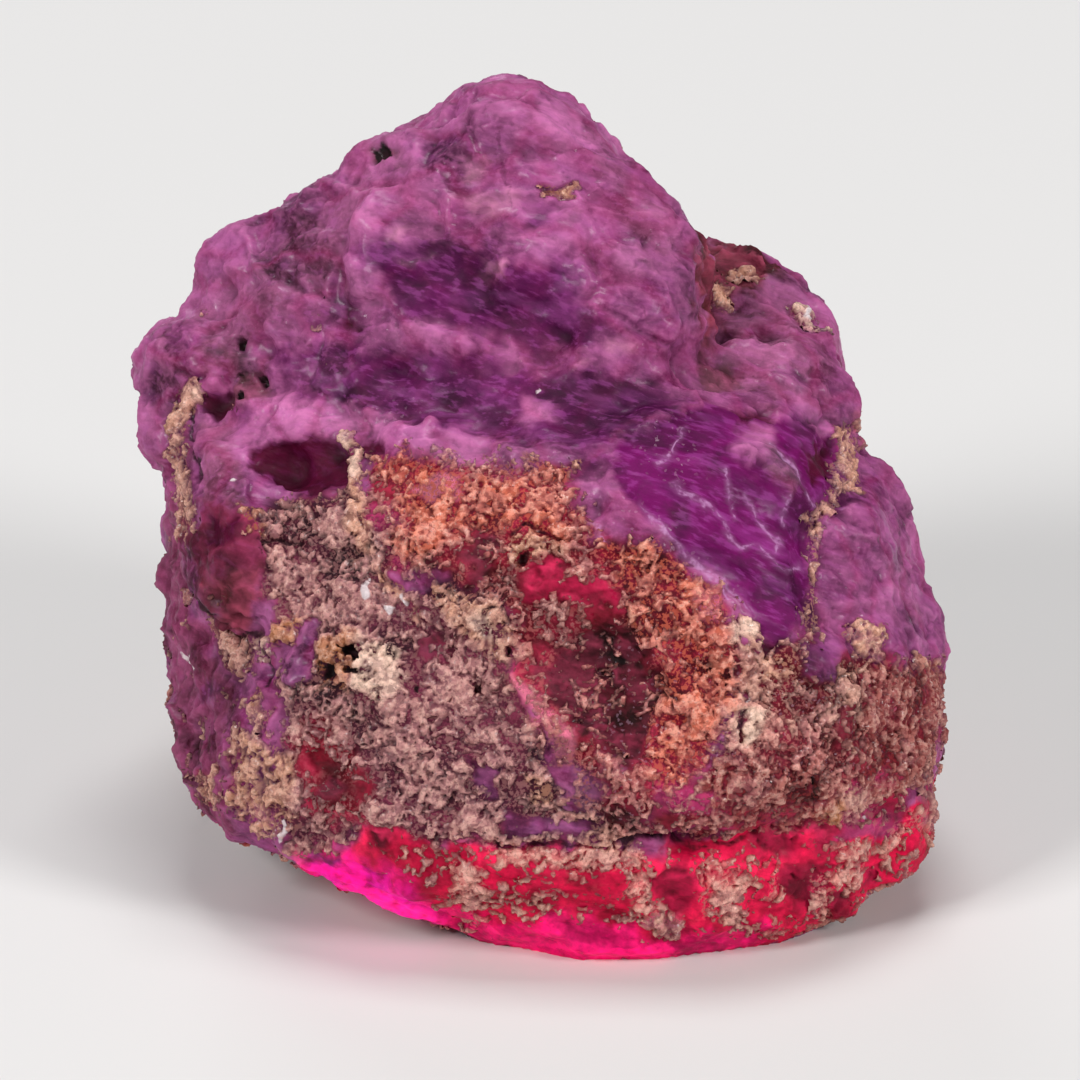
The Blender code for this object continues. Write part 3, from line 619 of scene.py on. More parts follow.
def to_segment(place, start, end):
    """Distance of each place from the line between two points."""
    run = np.subtract(end, start)
    along = np.clip(((place - start) @ run) / (run @ run), 0, 1)
    return np.linalg.norm(place - start - along[:, None] * run, axis=1)


def near(place, path):
    """Which places are within the margin of the path's own box."""
    low = np.min(path, axis=0) - MARGIN
    high = np.max(path, axis=0) + MARGIN
    return np.all((place > low) & (place < high), axis=1)


def off_lines(place, lines):
    """Distance from the nearest of the lines, up to the margin."""
    distance = np.full(len(place), MARGIN)
    for pixels in lines:
        path = on_stone(pixels)
        close = near(place, path)
        runs = [to_segment(place[close], a, b) for a, b in zip(path, path[1:])]
        distance[close] = np.minimum(distance[close], np.min(runs, axis=0))
    return distance


def inside_by(place, outlines):
    """How far each place is inside one of the outlines, negative outside them."""
    depth = np.full(len(place), -MARGIN)
    for pixels in outlines:
        outline = on_stone(pixels)
        close = near(place, outline)
        spots = place[close]
        distance = np.full(len(spots), MARGIN)
        inside = np.zeros(len(spots), bool)
        for (x0, y0), (x1, y1) in zip(outline, outline[1:] + outline[:1]):
            distance = np.minimum(distance, to_segment(spots, (x0, y0), (x1, y1)))
            level_with = (spots[:, 1] > y0) != (spots[:, 1] > y1)
            crossing = x0 + (spots[:, 1] - y0) * (x1 - x0) / (y1 - y0 if y1 != y0 else 1)
            inside ^= level_with & (spots[:, 0] < crossing)
        depth[close] = np.maximum(depth[close], np.where(inside, distance, -distance))
    return depth


# The stone's dress: what each of its points is made of


def paint(colour):
    """Red, green and blue for a shader, from a colour given as it looks, 0 to 255."""
    return np.array([((level / 255 + 0.055) / 1.055) ** 2.4 for level in colour])


def blend(first, second, amount):
    """From the first at 0 to the second at 1."""
    return first + (second - first) * (amount[:, None] if first.ndim > 1 else amount)


def patches_elsewhere(points):
    """How far each point is inside the patches of each tone of ELSEWHERE."""
    height = points[:, 2] + noise(points, 2.5, 71) * 1.5
    spread = {}
    for number, (breadth, size) in enumerate(BREADTHS.items()):
        bent = points + sway(points, size * 0.5, 72, 3) * size * 0.55
        spread[breadth] = [0.0, *cells(along_streaks(bent, FACE_LENGTH), size, 75 + number)]
    depths = {}
    for name, (breadth, share, lowest, highest) in ELSEWHERE.items():
        start, nearest, _, _, chance = spread[breadth]
        inside = (0.35 + 0.3 * chance[:, 1] - nearest) * BREADTHS[breadth]
        allowed = np.minimum(height - lowest, highest - height)
        chosen = (chance[:, 0] >= start) & (chance[:, 0] < start + share)
        depths[name] = np.where(chosen, np.minimum(inside, allowed), -MARGIN)
        spread[breadth][0] += share
    return depths


def broken_faces(points):
    """Each sort of broken face, with how far the points are from its borders, which way they are from the
    middle of their own face, and that face's three random numbers."""
    bent = points + sway(points, 0.8, 7) * 0.18 + sway(points, 0.3, 17) * 0.04
    along = along_streaks(bent, FACE_LENGTH)
    sorts = []
    for faces in (LARGE_FACES, SMALL_FACES, SHARDS):
        nearest, second, away, chance = cells(along, faces.size, faces.seed)
        sorts.append((faces, second - nearest, away, chance))
    return sorts


def share_of(faces, look, others):
    """How far faces of this sort show: shards in the deep red parts alone, and the others as given."""
    return look["shards"] if faces is SHARDS else others


def kinds_of_ruby(points, look):
    """Where the bare ruby is violet, where its red parts get a painted glow from within, where it is broken
    into shards, and where it is silky along its streaks.
    """
    ground = look["ground"]
    dull = 1 - look["shine"]
    bare = 1 - step(0.1, 0.4, look["crust"])
    red = np.maximum(ground[:, 0], 0.01)
    pinkish = step(0.03, 0.15, ground[:, 1] / red)
    look["violet"] = step(0.1, 0.5, ground[:, 2] / red) * bare
    # Painted light: how strongly the red parts glow from within
    look["inner"] = (1 - look["violet"]) * (1 - pinkish) * dull * 0.6
    look["shards"] = (1 - look["violet"]) * step(0.0, 0.15, dull) * bare * step(0.6, 0.35, ground[:, 0])
    look["silk"] = layered(along_streaks(points), 0.5, 39)


def cloud_over(points, look):
    """Gives each broken face its own depth of colour, paler towards its top and darker towards its bottom
    with painted light and shade, and lays clouds and threads over them.
    """
    ground = look["ground"]
    dull = 1 - look["shine"]
    frosty = dull * look["violet"]
    reddish = blend(ground * 1.5, paint((226, 90, 130)), dull * 0.15)
    paler = blend(reddish, paint((200, 122, 176)), frosty * 0.45)
    for faces, off_border, away, chance in look["faces"]:
        strength = share_of(faces, look, 1) * faces.tone
        # Painted light and shade: each face is paler towards its top and darker towards its bottom
        depth = chance[:, 1] + away[:, 2] * 0.3
        ground = blend(ground, paler, step(0.5, 1.0, depth) * dull * strength)
        ground = blend(ground, ground * 0.45, step(0.5, 0.0, depth) * strength)
        edge = blend(ground * 0.5, paler, step(0.4, 0.6, chance[:, 2]))
        ground = blend(ground, edge, (1 - step(0.0, 0.1, off_border)) * frosty * 0.4)
    clouds = layered(points, 0.9, 33)
    ground = blend(ground, paler, step(0.05, 0.4, clouds) * dull * 0.4)
    ground = blend(ground, ground * 0.5, step(0.05, 0.4, -clouds) * 0.4)
    threads = step(0.5, 1.0, ridged(points, 1.1, 37))
    look["ground"] = blend(ground, paint((142, 20, 84)), threads * frosty * 0.4)


def between(pair, amount):
    """Colours from the first of the pair at 0 to the second at 1."""
    return blend(np.full((len(amount), 3), paint(pair[0])), paint(pair[1]), amount)


def dress(points, facing):
    """Colours, crust cover, height and gloss of each point."""
    across, up, _ = in_layout(points)
    place = np.stack([across, up], -1)
    for size, reach, seed in ((0.8, 0.22, 3), (0.3, 0.14, 5), (0.13, 0.05, 7)):
        place[:, 0] += noise(points, size, seed) * reach
        place[:, 1] += noise(points, size, seed + 1) * reach
    seen = step(-0.2, 0.05, facing)
    front = seen > 0
    behind = seen < 1

    def joined(found, hidden=-MARGIN):
        """One field out of those for the front and for the rest."""
        outer = np.full(len(points), -MARGIN)
        outer[behind] = hidden
        inner = np.full(len(points), -MARGIN)
        inner[front] = found
        return blend(outer, inner, seen)

    ragged = [layered(points, 0.4, 60 + n, 2) for n in range(4)]
    frost = step(-0.25, 0.25, layered(points, 0.8, 31))
    look = {"ground": between(FROST, frost), "grains": between(CRUST, frost)}
    for name in ("crust", "lift", "shine"):
        look[name] = np.zeros(len(points))
    hidden = patches_elsewhere(points[behind])
    for number, (name, tone) in enumerate([*GROUND.items(), *GRAINS.items()]):
        layer = "ground" if name in GROUND else "grains"
        field = joined(inside_by(place[front], tone.patches), hidden.get(name, -MARGIN))
        field += ragged[number % len(ragged)] * (tone.soft + 0.08)
        amount = step(-tone.soft, tone.soft, field)
        look[layer] = blend(look[layer], paint(tone.paint), amount)
        look["lift"] += amount * tone.lift
        if tone.crust is not None:
            look["crust"] = blend(look["crust"], tone.crust, amount)
        if tone.shine is not None:
            look["shine"] = blend(look["shine"], tone.shine, amount)
    veined = on_line(joined(-off_lines(place[front], VEINS)), VEIN_WIDTH)
    look["crust"] = np.maximum(look["crust"], 0.8 * veined)
    look["grains"] = blend(look["grains"], paint(VEIN), veined)
    look["faces"] = broken_faces(points)
    kinds_of_ruby(points, look)
    cloud_over(points, look)
    thinned = layered(points, 0.7, 65, 2) * 0.5 * step(0, 0.3, look["crust"])
    look["crust"] = np.clip(look["crust"] + thinned, 0, 1)
    for name, lines in (("crack", CRACKS), ("ripple", RIPPLES), ("seam", SEAMS)):
        look[name] = -joined(-off_lines(place[front], lines))
    for name, outlines in (("pit", PITS), ("flake_and_glint", FLAKES_AND_GLINTS), ("sparkle", SPARKLES), ("glow", GLOW)):
        look[name] = joined(inside_by(place[front], outlines))
    return look


# The mesh


def neighbour_mean(values, edges, counts, rounds):
    """Values smoothed over the mesh that many times."""
    ends = np.concatenate([edges[:, 0], edges[:, 1]])
    others = np.concatenate([edges[:, 1], edges[:, 0]])
    for _ in range(rounds):
        sums = [np.bincount(ends, column[others], len(counts)) for column in values.T]
        values = 0.5 * values + 0.5 * np.stack(sums, -1) / counts[:, None]
    return values


def point_normals(mesh):
    normals = np.empty(len(mesh.vertices) * 3, np.float32)
    mesh.vertex_normals.foreach_get("vector", normals)
    return normals.reshape(-1, 3).astype(float)


def positions(mesh):
    places = np.empty(len(mesh.vertices) * 3, np.float32)
    mesh.vertices.foreach_get("co", places)
    return places.reshape(-1, 3).astype(float)


def place_points(mesh, points):
    """Moves the mesh's points, and keeps those of the underside on the floor."""
    points[:, 2] = np.maximum(points[:, 2], 0)
    mesh.vertices.foreach_set("co", points.astype(np.float32).ravel())
    mesh.update()


def unit(vectors):
    return vectors / np.linalg.norm(vectors, axis=1)[:, None]


def apply_modifiers(piece):
    graph = bpy.context.evaluated_depsgraph_get()
    piece.data = bpy.data.meshes.new_from_object(piece.evaluated_get(graph))
    piece.modifiers.clear()


def new_object(name, data):
    """An object of this data, in the scene."""
    thing = bpy.data.objects.new(name, data)
    bpy.context.scene.collection.objects.link(thing)
    return thing


def fine_skin(node):
    """A fine even mesh over the node's solid, in millimetres, with the solid's own facets smoothed out."""
    mesh = node.data.copy()
    mesh.transform(node.matrix_world)
    place_points(mesh, positions(mesh) / MM)
    piece = new_object("ruby_surface", mesh)
    remesh = piece.modifiers.new("fine skin", "REMESH")
    remesh.mode = "VOXEL"
    remesh.voxel_size = GRAIN
    apply_modifiers(piece)
    underside = positions(piece.data)[:, 2] < 0.5 * GRAIN
    soften = piece.modifiers.new("soften facets", "SMOOTH")
    soften.iterations = FACET_ROUNDS
    soften.factor = 0.5
    apply_modifiers(piece)
    points = positions(piece.data)
    points[underside, 2] = 0
    place_points(piece.data, points)
    return piece


def edge_list(mesh):
    """The two points of each edge, and how many edges each point has."""
    edges = np.empty(len(mesh.edges) * 2, np.int32)
    mesh.edges.foreach_get("vertices", edges)
    edges = edges.reshape(-1, 2)
    return edges, np.maximum(1, np.bincount(edges.ravel(), minlength=len(mesh.vertices)))


def terraces(points, size, seed, steps):
    """Ledges: noise whose slopes are gathered into short steps, from about -0.5 to 0.5."""
    level = layered(points, size, seed, 2) * steps
    low = np.floor(level)
    return (low + step(0.25, 0.75, level - low)) / steps


def coarse_height(points, look):
    """Ledges, broken faces, lumps, pits and cracks."""
    dull = 1 - look["shine"]
    crusted = step(0.2, 0.6, look["crust"])
    streaky = along_streaks(points)
    ledges = terraces(streaky, 1.2, 11, 5) * 0.14 + terraces(streaky, 0.55, 18, 3) * 0.07
    height = ledges * (1 - crusted)
    rough = dull * (1 - crusted)
    for faces, off_border, away, chance in look["faces"]:
        tilted = np.clip(np.sum(away * (chance * 2 - 1), axis=1) * faces.lean, -STEEPEST, STEEPEST)
        height += tilted * step(0.0, 0.15, off_border) * share_of(faces, look, rough)
    height += noise(points, 1.0, 14) * 0.06 * dull
    height += crusted * (layered(points, 0.8, 16, 2) * 0.16 - 0.04)
    height += look["lift"]
    height -= PIT_DEPTH * step(-0.04, 0.08, look["pit"])
    height -= CRACK_DEPTH * on_line(look["crack"], CRACK_WIDTH)
    return height


def fine_height(points, look):
    """Small chips and low ledges on the bare ruby, and the facet's ripples."""
    bare = 1 - step(0.15, 0.6, look["crust"])
    chips = np.clip(plates(points, 0.3, 26, 0.1, 0.0), -0.02, 0.02)
    height = bare * (1 - look["shine"]) * chips
    height += bare * terraces(along_streaks(points), 0.35, 27, 3) * 0.04
    height += RIPPLE_HEIGHT * on_line(look["ripple"], RIPPLE_WIDTH)
    return height


def crest_height(points, look):
    """How far the crust's crests and crumbs stand out of the ruby, negative where there are none."""
    bent = points + sway(points, 0.35, 41) * 0.22
    nearest, _, _, chance = cells(bent, 0.24, 47)
    crests = ridged(bent, 0.38, 48) * 0.55 + ridged(bent, 0.17, 49) * 0.45
    crumbs = 0.85 - nearest + (chance[:, 0] - 0.5) * 0.6
    kind = step(-0.1, 0.15, layered(points, 1.0, 50, 2))
    level = blend(crests, crumbs, kind) + plates(bent, 0.14, 51, 3.6, 0.6)
    level += noise(points, 0.08, 52) * 0.35 + layered(points, 0.9, 53) * 0.6
    height = (level - (0.8 - look["crust"] * 0.9)) * CRUST_RELIEF
    height = np.where(height > 0, TALLEST_CREST * np.tanh(height / TALLEST_CREST), height)
    height += FLAKE_HEIGHT * step(-0.03, 0.05, look["flake_and_glint"])
    sunken = PIT_DEPTH * step(-0.06, 0.06, look["pit"]) + CRACK_DEPTH * on_line(look["crack"], CRACK_WIDTH)
    return height - sunken * 1.2


def facing_of(mesh, edges, counts):
    """Broad normals of the points, and how far each faces the photograph's view."""
    towards = np.array([0, -math.cos(VIEW_TILT), math.sin(VIEW_TILT)])
    broad = unit(neighbour_mean(point_normals(mesh), edges, counts, 30))
    return broad, broad @ towards


def store(mesh, look):
    """Keeps numbers and colours on the mesh's points, for its finish to read."""
    for name, values in look.items():
        if values.ndim > 1:
            layer = mesh.attributes.new(name, "FLOAT_COLOR", "POINT")
            values = np.column_stack([values, np.ones(len(values))])
            layer.data.foreach_set("color", values.astype(np.float32).ravel())
        else:
            layer = mesh.attributes.new(name, "FLOAT", "POINT")
            layer.data.foreach_set("value", values.astype(np.float32))


def kept(mesh, name):
    """Numbers or colours that the mesh's points keep under this name."""
    layer = mesh.attributes[name]
    coloured = layer.data_type == "FLOAT_COLOR"
    values = np.empty((len(mesh.vertices), 4 if coloured else 1), np.float32)
    layer.data.foreach_get("color" if coloured else "value", values.ravel())
    return values[:, :3].astype(float) if coloured else values[:, 0].astype(float)


def quads(mesh):
    """The four corners of each face."""
    corners = np.empty(len(mesh.polygons) * 4, np.int32)
    mesh.polygons.foreach_get("vertices", corners)
    return corners.reshape(-1, 4)


def finish_piece(piece, material):
    """Fewer faces where there are too many, then metres, and its material."""
    fewer = piece.modifiers.new("fewer faces", "DECIMATE")
    fewer.ratio = min(1, MOST_TRIANGLES / (2 * len(piece.data.polygons)))
    apply_modifiers(piece)
    mesh = piece.data
    place_points(mesh, positions(mesh) * MM)
    mesh.shade_smooth()
    mesh.materials.clear()
    mesh.materials.append(material)


def cut_out(name, points, faces, look):
    """A new piece of these faces alone, with what is stored for their points."""
    used, faces = np.unique(faces, return_inverse=True)
    mesh = bpy.data.meshes.new(name)
    mesh.from_pydata(points[used].tolist(), [], faces.reshape(-1, 4).tolist())
    store(mesh, {field: values[used] for field, values in look.items()})
    return new_object(name, mesh)


def crust_over(skin, look):
    """Finer meshes over the crusted parts of the skin, their crests standing out of it."""
    faces = quads(skin)
    faces = faces[look["crust"][faces].max(axis=1) > 0.1]
    names = "ground", "grains", "crust", "pit", "flake_and_glint", "crack"
    whole = cut_out("whole_crust", positions(skin), faces, {name: look[name] for name in names})
    finer = whole.modifiers.new("finer", "SUBSURF")
    finer.levels = 1
    apply_modifiers(whole)
    mesh = whole.data
    points = positions(mesh)
    look = {name: kept(mesh, name) for name in names}
    look["rise"] = crest_height(points, look) * step(0.0, 0.3, points[:, 2])
    look["blotch"] = layered(points, 0.8, 55)
    points += unit(neighbour_mean(point_normals(mesh), *edge_list(mesh), 4)) * look["rise"][:, None]
    points[:, 2] = np.maximum(points[:, 2], 0)
    faces = quads(mesh)
    faces = faces[look["rise"][faces].max(axis=1) > EDGE_OF_CRUST]
    bpy.data.objects.remove(whole)
    middle = points[faces[:, 0]]
    behind = middle[:, 1] > 0.5
    left = middle[:, 0] < 0
    parts = {"crust_behind": behind, "crust_front_left": ~behind & left, "crust_front_right": ~behind & ~left}
    return [cut_out(name, points, faces[chosen], look) for name, chosen in parts.items()]


def dressed_stone(node):
    """The ruby's skin and the pieces of the crust on it."""
    skin = fine_skin(node)
    mesh = skin.data
    edges, counts = edge_list(mesh)
    points = positions(mesh)
    broad, facing = facing_of(mesh, edges, counts)
    look = dress(points, facing)
    above_floor = step(0.0, 0.5, points[:, 2])
    points += broad * (coarse_height(points, look) * above_floor)[:, None]
    place_points(mesh, points)
    normals = unit(neighbour_mean(point_normals(mesh), edges, counts, 2))
    points += normals * (fine_height(points, look) * above_floor)[:, None]
    place_points(mesh, points)
    normals = point_normals(mesh)
    for name in ("lift", "faces", "shards"):
        del look[name]
    # How far each point stands out of or sinks below its neighbours: the finish paints highlights on crests
    # and shade in dips and hollows from it
    for name, rounds, reach in (("crest_highlight_and_dip_shade", 6, 0.03), ("hollow", 60, 0.16)):
        lifted = points - neighbour_mean(points, edges, counts, rounds)
        look[name] = np.clip(np.sum(lifted * normals, axis=1) / reach, -1, 1)
    store(mesh, look)
    crust = crust_over(mesh, look)
    grains = crust_finish()
    for piece in crust:
        finish_piece(piece, grains)
    finish_piece(skin, ruby_finish())
    return [skin, *crust]


# Shader maths


class Signal:
    """A node's output, with arithmetic."""

    def __init__(self, finish, socket):
        self.finish = finish
        self.socket = socket

    def math(self, operation, *others):
        return self.finish.add("ShaderNodeMath", {"operation": operation}, dict(enumerate((self, *others))))

    def __add__(self, other):
        return self.math("ADD", other)

    def __sub__(self, other):
        return self.math("SUBTRACT", other)

    def __mul__(self, other):
        return self.math("MULTIPLY", other)

    def __rsub__(self, other):
        return (self * -1) + other

    __radd__ = __add__
    __rmul__ = __mul__

    def least(self, other):
        return self.math("MINIMUM", other)

    def above(self, low, high):
        """0 below low, 1 above high, smooth between."""
        inputs = {"Value": self, "From Min": low, "From Max": high}
        settings = {"interpolation_type": "SMOOTHSTEP"}
        return self.finish.add("ShaderNodeMapRange", settings, inputs)


class Finish:
    """One material and its nodes."""

    def __init__(self, name):
        self.material = bpy.data.materials.new(name)
        self.material.use_nodes = True
        self.tree = self.material.node_tree
        self.tree.nodes.clear()

    def add(self, kind, settings=None, inputs=None, output=0):
        """A node of this kind, its settings made first, then its sockets' values or links."""
        node = self.tree.nodes.new(kind)
        for name, value in (settings or {}).items():
            setattr(node, name, value)
        for name, value in (inputs or {}).items():
            if isinstance(value, Signal):
                self.tree.links.new(value.socket, node.inputs[name])
            else:
                node.inputs[name].default_value = value
        return Signal(self, node.outputs[output]) if node.outputs else None

    def stored(self, name, output="Fac"):
        return self.add("ShaderNodeAttribute", {"attribute_name": name}, output=output)

    def scaled(self, colour, amount):
        return self.add("ShaderNodeVectorMath", {"operation": "SCALE"}, {0: colour, "Scale": amount})

    def mix(self, amount, first, second):
        """From the first colour at 0 to the second at 1."""
        return self.add("ShaderNodeMix", {"data_type": "RGBA"}, {0: amount, 6: first, 7: second}, output=2)

    def place(self):
        """Where a point is on the stone, in millimetres."""
        return self.scaled(self.add("ShaderNodeTexCoord", output="Object"), 1 / MM)

    def noise(self, place, size, detail=2.0, roughness=0.55):
        inputs = {"Vector": place, "Scale": 1 / size, "Detail": detail, "Roughness": roughness}
        return self.add("ShaderNodeTexNoise", None, inputs)

    def bumped(self, relief):
        """A normal tilted by this relief, in millimetres."""
        return self.add("ShaderNodeBump", None, {"Strength": 1.0, "Distance": MM, "Height": relief})

    def surfaced(self, inputs):
        """The material, its shader made of these values and links."""
        shader = self.add("ShaderNodeBsdfPrincipled", None, inputs)
        self.add("ShaderNodeOutputMaterial", None, {"Surface": shader})
        return self.material

    def swayed(self, place, size, reach):
        """The place, moved about by noise of this size, so that straight borders in a texture of it bend."""
        sway = self.add("ShaderNodeTexNoise", None, {"Vector": place, "Scale": 1 / size}, output="Color")
        off_middle = self.vector("SUBTRACT", sway, (0.5, 0.5, 0.5))
        return self.vector("ADD", place, self.scaled(off_middle, reach))

    def vector(self, operation, *inputs, output=0):
        settings = {"operation": operation}
        return self.add("ShaderNodeVectorMath", settings, dict(enumerate(inputs)), output=output)

    def along_streaks(self, place):
        """The place, squeezed along the crystal's streaks, so that a noise of it is streaky."""
        turn = (0, math.radians(STREAK_SLANT), 0)
        inputs = {"Vector": place, "Rotation": turn, "Scale": (STREAK_LENGTH, 1, 1)}
        return self.add("ShaderNodeMapping", {"vector_type": "TEXTURE"}, inputs)

    def leaning(self, place, size):
        """Small flat chips that each lean their own way: a random number for each, and the height."""
        node = self.add("ShaderNodeTexVoronoi", None, {"Vector": place, "Scale": 1 / size}).socket.node
        colour = Signal(self, node.outputs["Color"])
        away = self.vector("SUBTRACT", place, Signal(self, node.outputs["Position"]))
        lean = self.vector("SUBTRACT", colour, (0.5, 0.5, 0.5))
        chance = self.vector("DOT_PRODUCT", colour, (0.0, 1.0, 0.0), output="Value")
        return chance, self.vector("DOT_PRODUCT", away, lean, output="Value")


def tint(colour):
    """A colour given as it looks, for a shader socket."""
    return (*paint(colour), 1.0)


def ruby_colour(f, mottle, speckle, feathers):
    """The bare ruby: its stored tone with clouds and silk, a painted highlight on its crests and painted
    shade in its small dips.
    """
    ground = f.stored("ground", "Color")
    shine = f.stored("shine")
    violet = f.stored("violet")
    silk = f.stored("silk")
    crest_highlight_and_dip_shade = f.stored("crest_highlight_and_dip_shade")
    dull = 1 - shine
    reddish = f.mix(dull * 0.15, f.scaled(ground, 1.5), tint((226, 70, 112)))
    paler = f.mix(violet * dull * 0.4, reddish, tint((206, 128, 180)))
    silky = f.mix(violet * 0.5, paler, tint((166, 72, 158)))
    deeper = f.scaled(ground, 0.5)
    colour = f.mix(mottle.above(0.5, 0.66) * 0.25, ground, paler)
    colour = f.mix((1 - mottle).above(0.5, 0.68) * 0.25, colour, deeper)
    colour = f.mix(silk.above(0.0, 0.4) * 0.3, colour, silky)
    colour = f.mix((silk * -1).above(0.0, 0.4) * 0.3, colour, deeper)
    feathery = violet * (shine * 0.3 + 0.15) + 0.1
    colour = f.mix(feathers.above(0.5, 0.66) * feathery, colour, silky)
    colour = f.mix((1 - feathers).above(0.52, 0.66) * 0.25, colour, deeper)
    colour = f.mix(speckle.above(0.54, 0.68) * dull * 0.15, colour, paler)
    # Painted highlight on the crests and painted shade in the small dips between them
    colour = f.mix(crest_highlight_and_dip_shade.above(0.2, 1.0) * dull * 0.3, colour, paler)
    return f.mix((crest_highlight_and_dip_shade * -1).above(0.1, 1.0) * 0.4, colour, deeper)


def ruby_marks(f, colour, place, mottle, speckle):
    """Ripples, crumbs in the crust's bed, seams, cracks and pits darkened with painted shade, flakes and
    painted glints, and painted shade in the broad hollows, over the ruby's colour.
    """
    off_ripple = f.stored("ripple") + (mottle - 0.5) * 0.06
    crisp = (1 - off_ripple.above(0.015, 0.05)) * mottle.above(0.35, 0.6)
    haze = 1 - off_ripple.above(0.0, 0.13)
    colour = f.mix(crisp * 0.5 + haze * 0.12, colour, tint(RIPPLE))
    crumbs = f.noise(place, 0.1, detail=2, roughness=0.65)
    bed = f.stored("crust").above(0.25, 0.5)
    colour = f.mix(bed * crumbs.above(0.5, 0.56) * 0.8, colour, f.scaled(f.stored("grains", "Color"), 0.5))
    colour = f.mix(bed * (1 - crumbs).above(0.52, 0.6) * 0.6, colour, f.scaled(colour, 0.35))
    wander = (mottle - 0.5) * 0.18 + (speckle - 0.5) * 0.12
    seam = 1 - (f.stored("seam") + wander * 0.3).above(0.01, 0.05)
    colour = f.mix(seam * 0.45, colour, tint(SEAM))
    # Painted shade: the cracks are darkened to near-black
    crack = 1 - (f.stored("crack") + wander * 0.3).above(0.015, 0.06)
    colour = f.mix(crack * 0.85, colour, tint(CRACK_SHADE))
    # Painted shade: the pits are darkened to near-black
    colour = f.mix((f.stored("pit") + wander * 0.4).above(-0.02, 0.02), colour, tint(PIT_SHADE))
    colour = f.mix((f.stored("flake_and_glint") + wander * 0.3).above(-0.02, 0.02), colour, tint(MICA_AND_GLINT))
    # Painted shade: the broad hollows of the stone are darkened
    hollow = (f.stored("hollow") * -1).above(0.1, 1.0)
    return f.mix(hollow * 0.5, colour, f.scaled(f.stored("ground", "Color"), 0.35))


def ruby_finish():
    """Frosty violet corundum, with glassy windows, red and crimson parts, dark pits, painted glints, and a
    painted glow in its red parts and along its rim.
    """
    f = Finish("raw ruby")
    place = f.place()
    mottle = f.noise(place, 0.2, detail=3)
    speckle = f.noise(place, 0.07, detail=2)
    feathers = f.noise(f.along_streaks(place), 0.14, detail=3)
    shine = f.stored("shine")
    dull = 1 - shine
    colour = ruby_colour(f, mottle, speckle, feathers)
    colour = ruby_marks(f, colour, place, mottle, speckle)
    chips, chip_lean = f.leaning(place, 0.055)
    busy = f.stored("sparkle").above(-0.2, 0.3)
    bright = (chips + busy * 0.02).above(0.96, 0.98) * (dull + busy).least(1)
    satin = (f.stored("violet") * dull * 0.35 + shine * 0.15) * (f.stored("silk") + feathers).above(0.5, 0.8)
    # Painted light: a glow given as emission to the red parts and to the rim lit from below
    inner = f.scaled(f.stored("ground", "Color"), f.stored("inner") * mottle.above(0.35, 0.65))
    lit_rim = f.stored("glow").above(-0.2, 0.3) * mottle.above(0.2, 0.7)
    return f.surfaced({
        # Painted highlight: pale flecks on the glossy chips of the sparkle zones
        "Base Color": f.mix(bright * busy * 0.12, colour, tint((240, 190, 216))),
        "Roughness": 0.6 + (mottle - 0.5) * 0.2 - bright * 0.4,
        "Normal": f.bumped(chip_lean * (bright * 0.15 + dull * 0.04) + feathers * 0.03),
        "IOR": 1.76,
        "Specular IOR Level": 0.07,
        "Emission Color": f.mix(lit_rim, inner, tint((190, 20, 170))),
        "Emission Strength": 0.6,
        "Coat Weight": satin,
        "Coat Roughness": 0.3,
        "Coat IOR": 1.5,
    })


def crust_finish():
    """Crumbly crust: its reddish bed colour with painted shade low down, pinkish brown on its crests, and
    painted cream highlights on their tops.
    """
    f = Finish("ruby crust")
    place = f.place()
    mottle = f.noise(place, 0.16, detail=3)
    speckle = f.noise(place, 0.05, detail=2)
    chips, chip_lean = f.leaning(f.swayed(place, 0.15, 0.1), 0.09)
    bright = chips.above(0.82, 0.84)
    blotch = f.stored("blotch")
    ground = f.stored("ground", "Color")
    grains = f.stored("grains", "Color")
    paler = f.mix(0.45, grains, tint((254, 208, 188)))
    greyer = f.mix(0.5, grains, tint((162, 100, 112)))
    redder = f.mix(0.6, f.scaled(grains, 0.8), f.scaled(ground, 1.5))
    kinds = f.mix(blotch.above(0.0, 0.25) * 0.8, grains, greyer)
    kinds = f.mix((blotch * -1).above(0.0, 0.25) * 0.75, kinds, redder)
    kinds = f.mix(chips.above(0.1, 0.9), f.scaled(kinds, 0.66), f.mix(0.4, kinds, paler))
    rise = f.stored("rise") + (mottle - 0.5) * 0.06 + (speckle - 0.5) * 0.04
    # Painted shade low down between the crests and painted highlights on their tops; the bed's own colour
    # also shows low down
    shaded_low_down = f.mix(0.5, f.scaled(kinds, 0.5), ground)
    colour = f.mix(rise.above(-0.02, 0.02), f.scaled(ground, 0.7), shaded_low_down)
    colour = f.mix(rise.above(0.0, 0.07), colour, kinds)
    colour = f.mix(rise.above(0.05, 0.1) * mottle.above(0.45, 0.62) * 0.8, colour, paler)
    colour = f.mix(speckle.above(0.53, 0.65) * 0.5, colour, f.scaled(colour, 0.45))
    # Painted shade: the pits are near-black
    colour = f.mix(f.stored("pit").above(-0.05, 0.0), colour, tint(PIT_SHADE))
    return f.surfaced({
        # Mica flakes and painted glints
        "Base Color": f.mix(f.stored("flake_and_glint").above(-0.02, 0.02), colour, tint(MICA_AND_GLINT)),
        "Roughness": 0.62 - bright * 0.4,
        "Normal": f.bumped(chip_lean * (bright * 0.5 + 0.4)),
        "IOR": 1.6,
        "Specular IOR Level": 0.2,
        "Coat Weight": (mottle + speckle).above(1.0, 1.15) * 0.5,
        "Coat Roughness": 0.2,
    })


# The studio


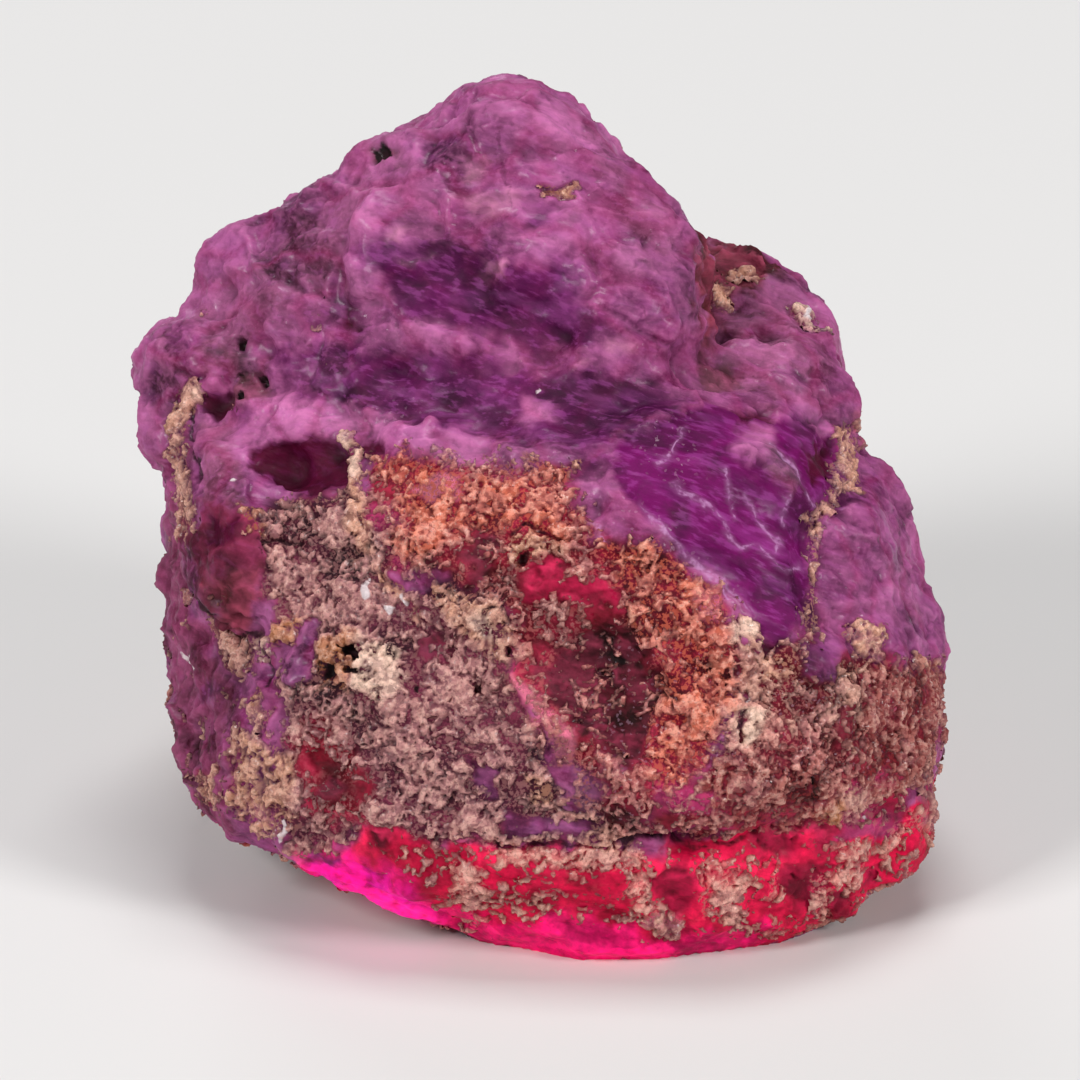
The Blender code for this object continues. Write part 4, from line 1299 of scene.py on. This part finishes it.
def plain_floor():
    mesh = bpy.data.meshes.new("floor")
    corners = [(x * FLOOR_HALF, y * FLOOR_HALF, 0) for x, y in ((-1, -1), (1, -1), (1, 1), (-1, 1))]
    mesh.from_pydata(corners, [], [(0, 1, 2, 3)])
    finish = Finish("pale floor")
    mesh.materials.append(finish.surfaced({"Base Color": (0.72, 0.71, 0.7, 1), "Roughness": 0.7}))
    new_object("floor", mesh)


def look_from(thing, place, target):
    thing.location = place
    thing.rotation_mode = "QUATERNION"
    thing.rotation_quaternion = (Vector(target) - Vector(place)).to_track_quat("-Z", "Y")


def soft_light(name, place, size, power):
    lamp = bpy.data.lights.new(name, "AREA")
    lamp.shape = "SQUARE"
    lamp.size = size
    lamp.energy = power
    look_from(new_object(name, lamp), place, LIT_SPOT)


def studio():
    """A pale floor, four softboxes and a faint even light, in metres and watts."""
    plain_floor()
    soft_light("left softbox", (-0.34, -0.3, 0.34), 0.16, 1.85)
    soft_light("right softbox", (0.4, -0.26, 0.26), 0.14, 1.6)
    soft_light("top softbox", (0.02, 0.1, 0.5), 0.2, 1.15)
    soft_light("back softbox", (-0.15, 0.5, 0.25), 0.25, 0.5)
    world = bpy.data.worlds.new("studio")
    world.use_nodes = True
    background = world.node_tree.nodes["Background"]
    background.inputs["Color"].default_value = (0.9, 0.92, 1.0, 1)
    background.inputs["Strength"].default_value = 0.1
    bpy.context.scene.world = world
    bpy.context.scene.view_settings.view_transform = "Standard"


def camera():
    """The photograph's view: from in front and a little above, with a long lens."""
    tilt_sine = math.sin(VIEW_TILT)
    tilt_cosine = math.cos(VIEW_TILT)
    rise = (LOWEST_ROW - PHOTO_SIDE / 2) / PIXELS_PER_MM - BASE_UP
    reach = LOOK_DEPTH - BASE_DEPTH
    laid = np.array([
        (PHOTO_SIDE / 2 - MIDDLE_COLUMN) / PIXELS_PER_MM,
        rise * tilt_sine + reach * tilt_cosine,
        rise * tilt_cosine - reach * tilt_sine,
    ])
    target = Vector((laid - LAYOUT_MIDDLE) * LAYOUT_SCALE * MM)
    distance = PHOTO_SIDE / PIXELS_PER_MM * LAYOUT_SCALE * MM * LENS / SENSOR
    data = bpy.data.cameras.new("camera")
    data.lens = LENS
    data.sensor_width = SENSOR
    data.clip_start = 0.01
    data.clip_end = 20
    view = new_object("camera", data)
    look_from(view, target + Vector((0, -tilt_cosine, tilt_sine)) * distance, target)
    bpy.context.scene.camera = view


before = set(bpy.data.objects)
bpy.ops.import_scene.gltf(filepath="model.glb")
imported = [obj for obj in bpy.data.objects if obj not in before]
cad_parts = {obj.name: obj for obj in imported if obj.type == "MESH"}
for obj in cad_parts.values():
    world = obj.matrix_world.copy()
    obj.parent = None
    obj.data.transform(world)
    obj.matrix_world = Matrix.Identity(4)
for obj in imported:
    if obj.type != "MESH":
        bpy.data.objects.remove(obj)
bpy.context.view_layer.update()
camera()
studio()
for piece in dressed_stone(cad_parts["ruby_crystal"]):
    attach(piece, "root")
    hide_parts("ruby_crystal")
